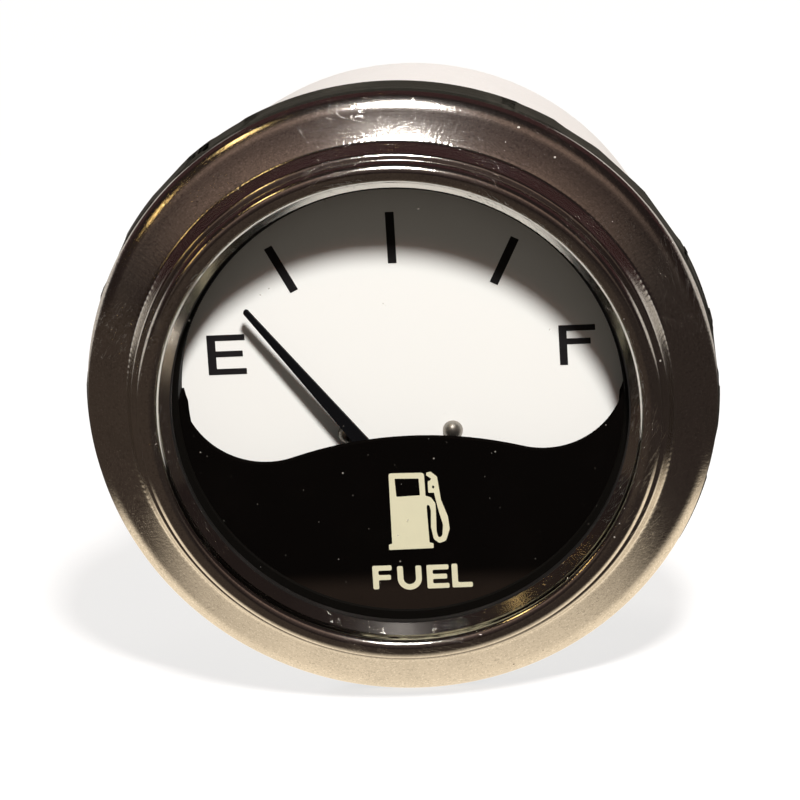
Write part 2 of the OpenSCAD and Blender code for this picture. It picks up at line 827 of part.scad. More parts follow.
// Iron core with a curved pole shoe at one end and a spigot for the yoke at the other
module pole_core(side) {
  wedge = 2 * shoe_bore_r;
  color("SlateGray") facing() {
    difference() {
      union() {
        on_coil(side) disc(core_r, shoe_bore_r, core_len);
        on_coil(side) disc(core_spigot_r, core_len, core_len + yoke_t + 2 * slip);
        translate(pivot) rotate(-side * coil_angle)
          plate(coil_z - armature_len / 2, coil_z + armature_len / 2) intersection() {
            circle(shoe_bore_r + shoe_t);
            polygon([
              [0, 0],
              wedge * [-sin(shoe_span), cos(shoe_span)],
              [0, 2 * wedge],
              wedge * [sin(shoe_span), cos(shoe_span)]
            ]);
          }
      }
      translate(pivot)
        disc(shoe_bore_r, coil_z - armature_len, coil_z + armature_len);
    }
  }
}
module pole_core_left() pole_core(-1);
module pole_core_right() pole_core(1);

// Moulded bobbin on the core
module bobbin(side) {
  color("Maroon") facing() on_coil(side) difference() {
    union() {
      disc(bobbin_d / 2, coil_start, coil_start + bobbin_wall);
      disc(tube_r, coil_start, coil_end);
      disc(bobbin_d / 2, coil_end - bobbin_wall, coil_end);
    }
    disc(core_bore_r, coil_start - past, coil_end + past);
  }
}
module bobbin_left() bobbin(-1);
module bobbin_right() bobbin(1);

// Wire wound on the bobbin
module winding(side) {
  color("OrangeRed") facing() on_coil(side) difference() {
    disc(bobbin_d / 2 - winding_inset, coil_start + bobbin_wall, coil_end - bobbin_wall);
    disc(tube_r + press, coil_start, coil_end);
  }
}
module winding_left() winding(-1);
module winding_right() winding(1);

// Place beside the left coil's winding, along its axis and outwards from it
function beside_left(along, out) =
  let (ahead = along_axis(-1))
  pivot + along * ahead + (bobbin_d / 2 + out) * [ahead.y, -ahead.x];
// The lead wires from both ends of the left coil to the heads of the terminal studs
module lead_pair() {
  start_along = coil_start + bobbin_wall + 2 * lead_r;
  end_along = coil_end - bobbin_wall - 2 * lead_r;
  lead_start = lead_r + slip - winding_inset;
  stud_front = case_floor + insulator_t + terminal_head_h + running;
  bend_z = stud_front + lead_bend;
  inner_end = terminal_at[1] - [terminal_head_r / 3, 0];
  wire([
    concat(beside_left(end_along, lead_start), coil_z),
    concat(beside_left(end_along, lead_start + lead_lift), coil_z),
    concat(terminal_at[0], bend_z),
    concat(terminal_at[0], stud_front)
  ]);
  wire([
    concat(beside_left(start_along, lead_start), coil_z),
    concat(beside_left(start_along + lead_lift, lead_start + lead_lift), coil_z),
    concat(inner_end, bend_z),
    concat(inner_end, stud_front)
  ]);
}
module coil_leads() color("OrangeRed") facing() {
  lead_pair();
  mirror([1, 0, 0]) lead_pair();
}
// A round wire through points, with its bends rounded
module wire(points) {
  $fn = 24;
  for (i = [1 : len(points) - 1]) {
    run = points[i] - points[i - 1];
    translate(points[i - 1]) rotate([0, acos(run.z / norm(run)), atan2(run.y, run.x)])
      cylinder(r = lead_r, h = norm(run));
  }
  for (i = [1 : len(points) - 2]) translate(points[i]) sphere(eye_share * lead_r);
}

// Bent iron strip that carries a core on the frame plate
module yoke(side) {
  rise = yoke_w / 2;
  color("SlateGray") facing() difference() {
    union() {
      on_coil(side) plate(core_len, core_len + yoke_t) {
        circle(rise);
        translate([-rise, 0]) square([yoke_w, coil_z - frame_front]);
      }
      on_coil(side) translate([-rise, coil_z - frame_front - yoke_t, core_len + yoke_t - yoke_foot])
        cube([yoke_w, yoke_t, yoke_foot]);
    }
    on_coil(side) disc(core_spigot_r + press, core_len - past, core_len + yoke_t + past);
  }
}
module yoke_left() yoke(-1);
module yoke_right() yoke(1);

// Threaded studs with heads inside the case
module terminal_studs() {
  head_back = case_floor + insulator_t;
  color("Gold") facing() at_each(terminal_at) {
    disc(terminal_r, case_back - terminal_len, head_back);
    disc(terminal_head_r, head_back, head_back + terminal_head_h);
  }
}
// Outline of an insulating plate under the three terminals
module insulator_outline() {
  half = (insulator_len - insulator_w) / 2;
  bar([-half, terminal_rise], [half, terminal_rise], insulator_w);
}
// Plate under the stud heads, with collars that centre the studs in the case
module inner_insulator() {
  color("SaddleBrown") facing() difference() {
    union() {
      plate(case_floor, case_floor + insulator_t) insulator_outline();
      at_each(terminal_at) disc(insulator_boss_r, case_back, case_floor);
    }
    at_each(terminal_at)
      disc(terminal_r + press, case_back - past, case_floor + insulator_t + past);
  }
}
module outer_insulator() {
  color("SaddleBrown") facing() difference() {
    plate(outer_plate_back, case_back) insulator_outline();
    at_each(terminal_at) disc(terminal_r + slip, outer_plate_back - past, case_back + past);
  }
}
module terminal_washers() {
  color("Silver") facing() at_each(terminal_at) difference() {
    disc(washer_r, washer_back, outer_plate_back);
    disc(terminal_r + slip, washer_back - past, outer_plate_back + past);
  }
}
module terminal_nuts() {
  color("Gold") facing() at_each(terminal_at) plate(washer_back - nut_h, washer_back)
    difference() {
      circle(d = nut_flats / cos(30), $fn = 6);
      circle(terminal_r + press);
    }
}

// Studs in the back of the case for the clamp that holds the gauge in its panel
module clamp_studs() {
  color("Silver") facing() at_each(clamp_at) {
    disc(clamp_r, case_back - clamp_len, case_back);
    disc(clamp_neck_r, case_back, case_floor);
    disc(clamp_head_r, case_floor, case_floor + clamp_head_h);
  }
}

// Tube through the back of the case that the lamp holder pushes into
module lamp_tube() {
  color("Silver") facing() translate(lamp_at) turned() {
    ring_profile(lamp_bore_r, lamp_tube_r, lamp_tube_back, lamp_tube_front);
    ring_profile(lamp_bore_r, lamp_flange_r, case_floor, case_floor + lamp_flange_t);
  }
}

// Sleeve with two spring slots, a flange and a grip at the back
module lamp_holder() {
  color("Goldenrod") facing() translate(lamp_at) difference() {
    turned() {
      ring_profile(sleeve_bore_r, sleeve_r, holder_seat - holder_flange_t, sleeve_front);
      ring_profile(sleeve_bore_r, holder_flange_r, holder_seat - holder_flange_t, holder_seat);
      ring_profile(sleeve_bore_r, grip_r, grip_back, holder_seat);
      ring_profile(plug_neck_r + slip, grip_r, grip_back, grip_back + grip_end_wall);
    }
    for (turn = [0, 90]) rotate(turn)
      translate([-2 * sleeve_r, -sleeve_slot_w / 2, sleeve_front - sleeve_slot_len])
        cube([4 * sleeve_r, sleeve_slot_w, sleeve_slot_len + past]);
  }
}
// Insulating plug that holds the contact in the lamp holder
module lamp_insulator() {
  color("SaddleBrown") facing() translate(lamp_at) difference() {
    union() {
      disc(sleeve_bore_r - press, grip_back + grip_end_wall, grip_back + plug_len);
      disc(plug_neck_r, grip_back, grip_back + grip_end_wall);
      disc(plug_flange_r, grip_back - plug_flange_t, grip_back);
    }
    disc(contact_r + press, grip_back - past, contact_front);
  }
}
// Contact for the foot of the bulb, with the spade tab behind it
module lamp_contact() {
  tab_front = grip_back - plug_flange_t;
  color("Silver") facing() translate(lamp_at) {
    disc(contact_r, tab_front, grip_back + plug_len);
    disc(contact_head_r, grip_back + plug_len, contact_front);
    difference() {
      translate([-tab_w / 2, -tab_t / 2, tab_front - tab_len]) cube([tab_w, tab_t, tab_len]);
      translate([0, -past, tab_front - tab_len / 2]) rotate([-90, 0, 0])
        cylinder(r = tab_w / 6, h = 2 * past);
    }
  }
}

// Bulb: metal cap, then the glass
module bulb_cap() {
  color("Gold") facing() translate(lamp_at) disc(cap_r, cap_back, cap_front);
}
module bulb_glass() {
  color("LightYellow", 0.6) facing() translate(lamp_at) {
    disc(glass_r, cap_front, glass_front - glass_r);
    translate([0, 0, glass_front - glass_r]) turned() intersection() {
      circle(glass_r);
      square(glass_r);
    }
  }
}

bezel();
lens_seal();
lens();
spacer_ring();
dial_mask();
dial_rivets();
dial_plate();
panel_gasket();
case_cup();
pointer();
pointer_hub();
spindle();
armature();
balance_arm();
bearing_bridge();
front_bearing();
rear_bearing();
bridge_pillars();
bridge_screws();
stop_pins();
movement_frame();
frame_spacers();
frame_screws();
pole_core_left();
pole_core_right();
bobbin_left();
bobbin_right();
winding_left();
winding_right();
coil_leads();
yoke_left();
yoke_right();
terminal_studs();
inner_insulator();
outer_insulator();
terminal_washers();
terminal_nuts();
clamp_studs();
lamp_tube();
lamp_holder();
lamp_insulator();
lamp_contact();
bulb_cap();
bulb_glass();
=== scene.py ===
"""Dresses the packed fuel gauge: spun bezel, printed marks, cut gasket, threads, finishes and studio."""

import json
import math

import bmesh
import bpy
from bpy.props import FloatProperty, FloatVectorProperty, IntProperty, PointerProperty
from mathutils import Matrix, Vector

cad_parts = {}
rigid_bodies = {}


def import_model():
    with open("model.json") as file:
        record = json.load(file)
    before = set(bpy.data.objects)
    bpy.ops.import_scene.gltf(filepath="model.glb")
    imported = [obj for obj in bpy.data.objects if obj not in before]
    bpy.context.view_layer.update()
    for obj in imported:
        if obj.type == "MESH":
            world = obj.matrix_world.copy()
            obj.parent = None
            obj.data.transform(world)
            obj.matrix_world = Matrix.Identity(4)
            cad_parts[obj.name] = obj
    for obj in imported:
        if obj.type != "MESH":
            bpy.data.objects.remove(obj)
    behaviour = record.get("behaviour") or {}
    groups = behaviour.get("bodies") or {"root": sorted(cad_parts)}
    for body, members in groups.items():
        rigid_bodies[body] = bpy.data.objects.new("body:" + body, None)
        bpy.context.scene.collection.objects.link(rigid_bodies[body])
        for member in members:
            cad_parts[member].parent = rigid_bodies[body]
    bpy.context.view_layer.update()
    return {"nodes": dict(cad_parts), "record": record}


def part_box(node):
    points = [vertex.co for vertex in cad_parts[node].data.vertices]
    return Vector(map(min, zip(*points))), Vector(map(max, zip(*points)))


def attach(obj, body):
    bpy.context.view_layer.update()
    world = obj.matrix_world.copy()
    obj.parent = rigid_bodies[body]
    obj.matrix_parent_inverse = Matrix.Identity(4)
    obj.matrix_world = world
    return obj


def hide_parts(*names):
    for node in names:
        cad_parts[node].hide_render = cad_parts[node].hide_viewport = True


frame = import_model()
NODES = frame["nodes"]

bl_info = {
    "name": "Fuel gauge dressing",
    "version": (1, 0, 0),
    "blender": (4, 5, 0),
    "location": "View3D > Sidebar > Gauge",
    "description": "Bezel, marks, gasket, threads, finishes and studio for the packed fuel gauge",
    "category": "Object",
}

MM = 0.001
MERGE_DISTANCE = 1e-7
SMOOTH_ANGLE = math.radians(32)
# Material made for each slot, by name; the finishes step fills it
FINISH_NAMES = {}
# Clock angles in degrees and radii in millimetres of the cuts that trimmed the panel gasket by hand
GASKET_CUTS = (
    (282, 30.85), (289, 30.98), (297, 30.9), (306, 31.02), (315, 30.96), (330, 31.05),
    (28, 31.05), (36, 30.9), (41, 31.03), (46, 30.88), (51, 30.98), (58, 30.9),
    (72, 31.0), (86, 30.94), (104, 31.02), (128, 30.92), (150, 31.0), (176, 30.95),
    (203, 31.03), (228, 30.93), (252, 31.0),
)


def length(name, description, default):
    """A size in metres that shows with its unit."""
    return FloatProperty(
        name=name, description=description, default=default,
        unit="LENGTH", subtype="DISTANCE", precision=5,
    )


def colour(name, description, default):
    """A colour of the finishes, without alpha."""
    return FloatVectorProperty(
        name=name, description=description, default=default,
        size=3, subtype="COLOR", min=0.0, max=1.0,
    )


def angle(name, description, degrees):
    """An angle that is given in degrees and shows with its unit."""
    return FloatProperty(
        name=name, description=description, default=math.radians(degrees),
        unit="ROTATION", subtype="ANGLE",
    )


def number(name, description, default, least=0.0):
    """A number without a unit."""
    return FloatProperty(name=name, description=description, default=default, min=least)


def step_count(description, default, least):
    """A count of steps round a turned piece."""
    return IntProperty(name="Steps around", description=description, default=default, min=least)


class BezelSizes(bpy.types.PropertyGroup):
    """Sizes of the spun cover round the glass."""

    outer_radius: length("Outer radius", "Radius of the upright edge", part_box("bezel")[1].x)
    foot_height: length("Foot height", "Height of the upright edge over the panel", 3.18 * MM)
    edge_radius: length("Edge radius", "Tight curve over the upright edge", 1.2 * MM)
    shoulder_radius: length("Shoulder radius", "Wider curve inside the tight one", 4.0 * MM)
    hollow_radius: length("Hollow radius", "Slight hollow across the rest of the band", 30.0 * MM)
    cove_radius: length("Cove radius", "Tight hollow curve at the crease inside the band", 0.8 * MM)
    ridge_radius: length("Ridge radius", "Curve at the top of the step", 0.6 * MM)
    bead_radius: length("Bead radius", "Curve over the raised bead", 1.1 * MM)
    sight_radius: length("Sight radius", "Inside radius of the black ring under the glass", 21.85 * MM)
    around: step_count("Steps of the spin", 240, 48)


class DialMarkSizes(bpy.types.PropertyGroup):
    """Sizes of the black print on the dial."""

    print_rise: length("Print rise", "Thickness of the print", 0.03 * MM)
    tick_width: length("Tick width", "Width of the three ticks", 0.85 * MM)
    stem_width: length("Stem width", "Width of the upright strokes of E and F", 0.84 * MM)
    bar_width: length("Bar width", "Width of the level strokes of E and F", 0.6 * MM)


class MaskMarkSizes(bpy.types.PropertyGroup):
    """Sizes of the cream print on the mask."""

    print_rise: length("Print rise", "Thickness of the print", 0.03 * MM)
    stroke_width: length("Stroke width", "Width of the strokes of the word", 0.58 * MM)
    corner_radius: length("Corner radius", "Rounding of the print's corners", 0.16 * MM)


class GasketSizes(bpy.types.PropertyGroup):
    """Sizes of the rubber ring between the bezel and the panel."""

    outer_radius: length("Outer radius", "Radius before the ring is cut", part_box("panel_gasket")[1].x)
    inner_radius: length("Inner radius", "Radius of the hole", 26.62 * MM)
    groove_depth: length("Groove depth", "Depth of the seam between the two sheets", 0.03 * MM)


class ThreadSizes(bpy.types.PropertyGroup):
    """Sizes of the threads and nuts at the back."""

    crest_radius: length("Crest radius", "Outside radius of the thread", 2.0 * MM)
    root_radius: length("Root radius", "Radius at the foot of the thread", 1.69 * MM)
    pitch: length("Pitch", "Rise of the thread in one turn", 0.7 * MM)
    around: step_count("Steps in one turn", 36, 12)


class FinishColours(bpy.types.PropertyGroup):
    """Colours of the visible finishes."""

    bright_metal: colour("Bright metal", "Spun and polished bezel", (0.72, 0.69, 0.64))
    dial_paint: colour("Dial paint", "Off-white of the dial", (0.9, 0.895, 0.885))
    print_black: colour("Print black", "Black of the dial's print and pointer", (0.012, 0.011, 0.012))
    print_cream: colour("Print cream", "Cream of the mask's print", (0.73, 0.69, 0.5))
    mask_black: colour("Mask black", "Satin black of the mask", (0.0025, 0.002, 0.0018))
    rubber: colour("Rubber", "Panel gasket and seal", (0.02, 0.019, 0.015))
    zinc: colour("Zinc plate", "Case and lamp tube", (0.86, 0.85, 0.82))
    steel: colour("Steel", "Turned steel parts", (0.66, 0.66, 0.66))
    brass: colour("Brass", "Studs, nuts and bearings", (0.72, 0.52, 0.24))
    iron: colour("Soft iron", "Cores, yokes and armature", (0.3, 0.29, 0.28))
    board: colour("Board", "Brown laminated insulators", (0.3, 0.14, 0.055))


class StageSettings(bpy.types.PropertyGroup):
    """Studio: floor, lamps, room and camera."""

    key_power: number("Key power", "Power of the key lamp", 6.3)
    key_size: length("Key size", "Diameter of the key lamp", 0.075)
    key_distance: length("Key distance", "Distance of the key lamp", 0.6)
    warm_share: number("Warm share", "Share of the wider warm lamp", 0.09)
    fill: number("Fill", "Strength of the room's even light", 0.13)
    lens: number("Lens", "Focal length for a 36 mm sensor", 229.0, 1.0)
    camera_distance: length("Camera distance", "Distance of the camera", 0.5)
    azimuth: angle("Azimuth", "Camera's turn about the upright", 4.375)
    elevation: angle("Elevation", "Camera's angle above the level", 19.2)
    roll: angle("Roll", "Camera's turn about its own axis", -3.58)


def face_point(x, up, out):
    """Point of the row frame from its place on the gauge's face."""
    return Vector((x, -out, up))


def face_points(pairs, out):
    """Points of the row frame from pairs in millimetres at one height over the face."""
    return [face_point(x * MM, up * MM, out) for x, up in pairs]


def profile_points(pairs):
    """Points of a turned piece's profile, from pairs of radius and height in metres."""
    return [face_point(radius, 0.0, out) for radius, out in pairs]


def arc(centre, radius, start, end, steps):
    """Points on an arc from one angle to another, in degrees."""
    turns = [math.radians(start + (end - start) * i / steps) for i in range(steps + 1)]
    return [(centre[0] + radius * math.cos(t), centre[1] + radius * math.sin(t)) for t in turns]


def polar(clock, radius, out):
    """Point at a clock angle in degrees from 12 o'clock and a radius from the axis."""
    turn = math.radians(clock)
    return face_point(radius * math.sin(turn), radius * math.cos(turn), out)


def open_piece(name):
    """Starts an empty mesh piece in edit mode at the origin."""
    bpy.ops.object.select_all(action="DESELECT")
    bpy.ops.mesh.primitive_plane_add(size=MM)
    piece = bpy.context.object
    piece.name = name
    piece.data.name = name
    bpy.ops.object.mode_set(mode="EDIT")
    bpy.ops.mesh.select_all(action="SELECT")
    bpy.ops.mesh.delete(type="VERT")
    return piece


def draw_line(points):
    """Draws a line of edges through the points; only its last vertex stays selected."""
    bpy.ops.mesh.primitive_plane_add(size=MM)
    bpy.ops.mesh.merge(type="CENTER")
    bpy.ops.transform.translate(value=points[0])
    for here, there in zip(points, points[1:]):
        bpy.ops.mesh.extrude_vertices_move(TRANSFORM_OT_translate={"value": there - here})


def select_drawn():
    """Selects everything that hangs together with the last vertex and joins its doubles."""
    bpy.ops.mesh.select_linked()
    bpy.ops.mesh.remove_doubles(threshold=MERGE_DISTANCE)


def add_plate(outlines, rise):
    """Fills flat outlines, the later ones as holes in the first, and raises them to a plate."""
    for outline in outlines:
        bpy.ops.mesh.select_all(action="DESELECT")
        draw_line(outline + outline[:1])
        select_drawn()
        bpy.ops.mesh.hide(unselected=False)
    bpy.ops.mesh.reveal(select=False)
    select_lone()
    bpy.ops.mesh.select_mode(type="EDGE")
    bpy.ops.mesh.fill(use_beauty=True)
    bpy.ops.mesh.select_mode(type="VERT")
    bpy.ops.mesh.extrude_region_move(TRANSFORM_OT_translate={"value": (0.0, -rise, 0.0)})
    bpy.ops.mesh.select_all(action="DESELECT")


def select_lone():
    """Selects the vertices and edges that no face uses."""
    data = bpy.context.object.data
    mesh = bmesh.from_edit_mesh(data)
    for vertex in mesh.verts:
        if not vertex.link_faces:
            vertex.select = True
    mesh.select_flush_mode()
    bmesh.update_edit_mesh(data)


def close_piece(piece, angle=SMOOTH_ANGLE):
    """Joins doubles, points the faces outwards, smooths the round parts and leaves edit mode."""
    bpy.ops.mesh.select_all(action="SELECT")
    bpy.ops.mesh.remove_doubles(threshold=MERGE_DISTANCE)
    bpy.ops.mesh.normals_make_consistent(inside=False)
    bpy.ops.object.mode_set(mode="OBJECT")
    bpy.ops.object.shade_smooth_by_angle(angle=angle)
    return piece


def spin_profile(pairs, around, closed=True):
    """Spins a profile of radius and height round the gauge's axis; an open one starts and ends on it."""
    points = profile_points(pairs)
    bpy.ops.mesh.select_all(action="DESELECT")
    draw_line(points + points[:1] if closed else points)
    select_drawn()
    bpy.ops.mesh.spin(
        steps=around, angle=2 * math.pi, center=(0.0, 0.0, 0.0), axis=(0.0, 1.0, 0.0)
    )
    select_drawn()


def activate(piece):
    """Makes a piece the only selected object and the active one."""
    bpy.ops.object.select_all(action="DESELECT")
    piece.select_set(True)
    bpy.context.view_layer.objects.active = piece


def apply_modifier(piece, kind, **settings):
    """Adds a modifier with its settings and applies it."""
    activate(piece)
    modifier = piece.modifiers.new(kind.title(), kind)
    for name, value in settings.items():
        setattr(modifier, name, value)
    bpy.ops.object.modifier_apply(modifier=modifier.name)


def edit_again(piece):
    """Opens a finished piece in edit mode with nothing selected."""
    activate(piece)
    bpy.ops.object.mode_set(mode="EDIT")
    bpy.ops.mesh.select_all(action="DESELECT")


def cut_beyond(place, direction):
    """Cuts the whole mesh off beyond a plane and closes the cut."""
    bpy.ops.mesh.select_all(action="SELECT")
    bpy.ops.mesh.bisect(
        plane_co=place, plane_no=direction, use_fill=True, clear_outer=True, clear_inner=False
    )


def front_and_back(node):
    """Heights of a node's front and back over the face."""
    low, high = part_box(node)
    return -low.y, -high.y


def rounded(corners, radius, steps=4):
    """Outline with its corners rounded: each corner is x, up and an optional radius of its own."""
    outline = []
    count = len(corners)
    for i, corner in enumerate(corners):
        here = Vector(corner[:2])
        before = Vector(corners[i - 1][:2]) - here
        after = Vector(corners[(i + 1) % count][:2]) - here
        wanted = corner[2] if len(corner) > 2 else radius
        half = before.angle(after) / 2
        reach = min(wanted / math.tan(half), before.length * 0.49, after.length * 0.49)
        if reach < 1e-4:
            outline.append(tuple(here))
            continue
        start = here + before.normalized() * reach
        end = here + after.normalized() * reach
        for step in range(steps + 1):
            t = step / steps
            point = start * (1 - t) ** 2 + here * 2 * t * (1 - t) + end * t * t
            outline.append((point.x, point.y))
    return outline


class Amount:
    """A number that changes over a surface, so that sums of it can be written plainly."""

    def __init__(self, finish, socket):
        self.finish = finish
        self.socket = socket

    def combine(self, operation, *values):
        """Adds one Math node on these values."""
        sockets = dict(enumerate(values))
        node = self.finish.node("ShaderNodeMath", {"operation": operation}, sockets)
        return Amount(self.finish, node.outputs[0])

    def __add__(self, other):
        return self.combine("ADD", self, other)

    __radd__ = __add__

    def __sub__(self, other):
        return self.combine("SUBTRACT", self, other)

    def __rsub__(self, other):
        return self.combine("SUBTRACT", other, self)

    def __mul__(self, other):
        return self.combine("MULTIPLY", self, other)

    __rmul__ = __mul__

    def __pow__(self, other):
        return self.combine("POWER", self, other)

    def sine(self):
        """Sine of the amount in radians."""
        return self.combine("SINE", self)

    def size(self):
        """The amount without its sign."""
        return self.combine("ABSOLUTE", self)

    def over(self, low, high):
        """0 below low, 1 above high and a smooth rise between; reversed where high is below low."""
        settings = {"interpolation_type": "SMOOTHSTEP"}
        values = {"Value": self, "From Min": min(low, high), "From Max": max(low, high)}
        rise = self.finish.node("ShaderNodeMapRange", settings, values)
        result = Amount(self.finish, rise.outputs["Result"])
        return result if high > low else 1.0 - result


class Finish:
    """A material or a world whose nodes are written as expressions."""

    def __init__(self, holder, kind="ShaderNodeOutputMaterial"):
        holder.use_nodes = True
        self.holder = holder
        self.tree = holder.node_tree
        self.tree.nodes.clear()
        self.output = self.tree.nodes.new(kind)

    def plug(self, socket, value):
        """Sets a socket to a constant or links it to an amount or another socket."""
        if isinstance(value, Amount):
            self.tree.links.new(value.socket, socket)
        elif isinstance(value, bpy.types.NodeSocket):
            self.tree.links.new(value, socket)
        elif hasattr(value, "__len__") and len(value) == 3 and len(socket.default_value) == 4:
            socket.default_value = (*value, 1.0)
        else:
            socket.default_value = value

    def node(self, kind, settings=None, values=None):
        """Adds a node: its settings first, then its sockets by name or number."""
        node = self.tree.nodes.new(kind)
        for name, value in (settings or {}).items():
            setattr(node, name, value)
        for name, value in (values or {}).items():
            self.plug(node.inputs[name], value)
        return node

    def place(self, stretch=(1.0, 1.0, 1.0)):
        """Object coordinates, stretched along the axes."""
        where = self.node("ShaderNodeTexCoord").outputs["Object"]
        return self.node("ShaderNodeMapping", None, {"Vector": where, "Scale": stretch}).outputs[0]

    def axes(self):
        """The three object coordinates as amounts in metres."""
        return self.split(self.node("ShaderNodeTexCoord").outputs["Object"])

    def split(self, where):
        """The three parts of a vector as amounts."""
        outputs = self.node("ShaderNodeSeparateXYZ", None, {0: where}).outputs
        return [Amount(self, output) for output in outputs]

    def polar(self):
        """Radius from the gauge's axis, clock angle in radians, and the place along the axis."""
        x, y, z = self.axes()
        radius = (x * x + z * z) ** 0.5
        return radius, x.combine("ARCTAN2", x, z), y

    def noise(self, scale, detail=2.0, where=None, roughness=0.55):
        """Noise from 0 to 1 on object coordinates or on another vector."""
        values = {"Vector": where or self.place(), "Scale": scale, "Detail": detail, "Roughness": roughness}
        return Amount(self, self.node("ShaderNodeTexNoise", None, values).outputs["Fac"])

    def vector(self, x, y, z):
        """A vector from three amounts."""
        return self.node("ShaderNodeCombineXYZ", None, {0: x, 1: y, 2: z}).outputs[0]

    def specks(self, scale, share, size, where=None):
        """Small round spots: 1 inside a spot; share of the cells hold one."""
        values = {"Vector": where or self.place(), "Scale": scale}
        cells = self.node("ShaderNodeTexVoronoi", None, values)
        chosen = self.split(cells.outputs["Color"])[0]
        spot = Amount(self, cells.outputs["Distance"]).over(size, size * 0.6)
        return spot * chosen.over(1 - share, 1 - share * 0.9)

    def front_gloss(self, index):
        """Share of light that the front of clear glass reflects; its back only lets light through."""
        gloss = Amount(self, self.node("ShaderNodeFresnel", None, {"IOR": index}).outputs[0])
        behind = Amount(self, self.node("ShaderNodeNewGeometry").outputs["Backfacing"])
        return gloss * (1.0 - behind)

    def blend(self, share, first, second):
        """Mixes two colours by an amount or a number."""
        values = {0: share, 6: first, 7: second}
        return self.node("ShaderNodeMix", {"data_type": "RGBA"}, values).outputs[2]

    def layers(self, base, *coats):
        """Lays coats over a colour: each is its share, then a colour or a factor of the base."""
        tone = base
        for share, shade in coats:
            tone = self.blend(share, tone, scaled(base, shade) if isinstance(shade, float) else shade)
        return tone

    def bump(self, height, depth):
        """Normal of a height field whose full height is depth, in metres."""
        values = {"Height": height, "Distance": depth, "Strength": 1.0}
        return self.node("ShaderNodeBump", None, values).outputs["Normal"]

    def emission(self, shade, strength):
        """A glow that is the same from everywhere."""
        values = {"Color": shade, "Strength": strength}
        return self.node("ShaderNodeEmission", None, values).outputs[0]

    def backdrop(self, shade, strength):
        """Light that comes from the world."""
        values = {"Color": shade, "Strength": strength}
        return self.node("ShaderNodeBackground", None, values).outputs[0]

    def clear(self, shade):
        """A see-through shader."""
        return self.node("ShaderNodeBsdfTransparent", None, {"Color": shade}).outputs[0]

    def rays(self, *names):
        """Sum of Light Path's outputs, as one amount."""
        path = self.node("ShaderNodeLightPath")
        total = Amount(self, path.outputs[names[0]])
        for name in names[1:]:
            total = total + Amount(self, path.outputs[name])
        return total

    def mix(self, share, first, second):
        """Mixes two shaders."""
        values = {0: share, 1: first, 2: second}
        return self.node("ShaderNodeMixShader", None, values).outputs[0]

    def principled(self, **values):
        """The surface shader with its sockets by name, and its output."""
        named = {name.replace("_", " ").title(): value for name, value in values.items()}
        if "Specular Level" in named:
            named["Specular IOR Level"] = named.pop("Specular Level")
        return self.node("ShaderNodeBsdfPrincipled", None, named).outputs[0]

    def surface(self, shader):
        """Makes the shader the one that shows."""
        self.tree.links.new(shader, self.output.inputs["Surface"])
        return self.holder

    def coat(self, tone, roughness, height, depth, **more):
        """Shows a plain surface: its colour, roughness, and a relief whose depth is in millimetres."""
        normal = self.bump(height, depth * MM)
        return self.surface(
            self.principled(base_color=tone, roughness=roughness, normal=normal, **more)
        )


def new_material(name):
    """A fresh material opened as a finish."""
    return Finish(bpy.data.materials.new(name))


def scaled(shade, factor, most=1.0):
    """A colour made darker or paler, with no channel above most."""
    return [min(most, channel * factor) for channel in shade]


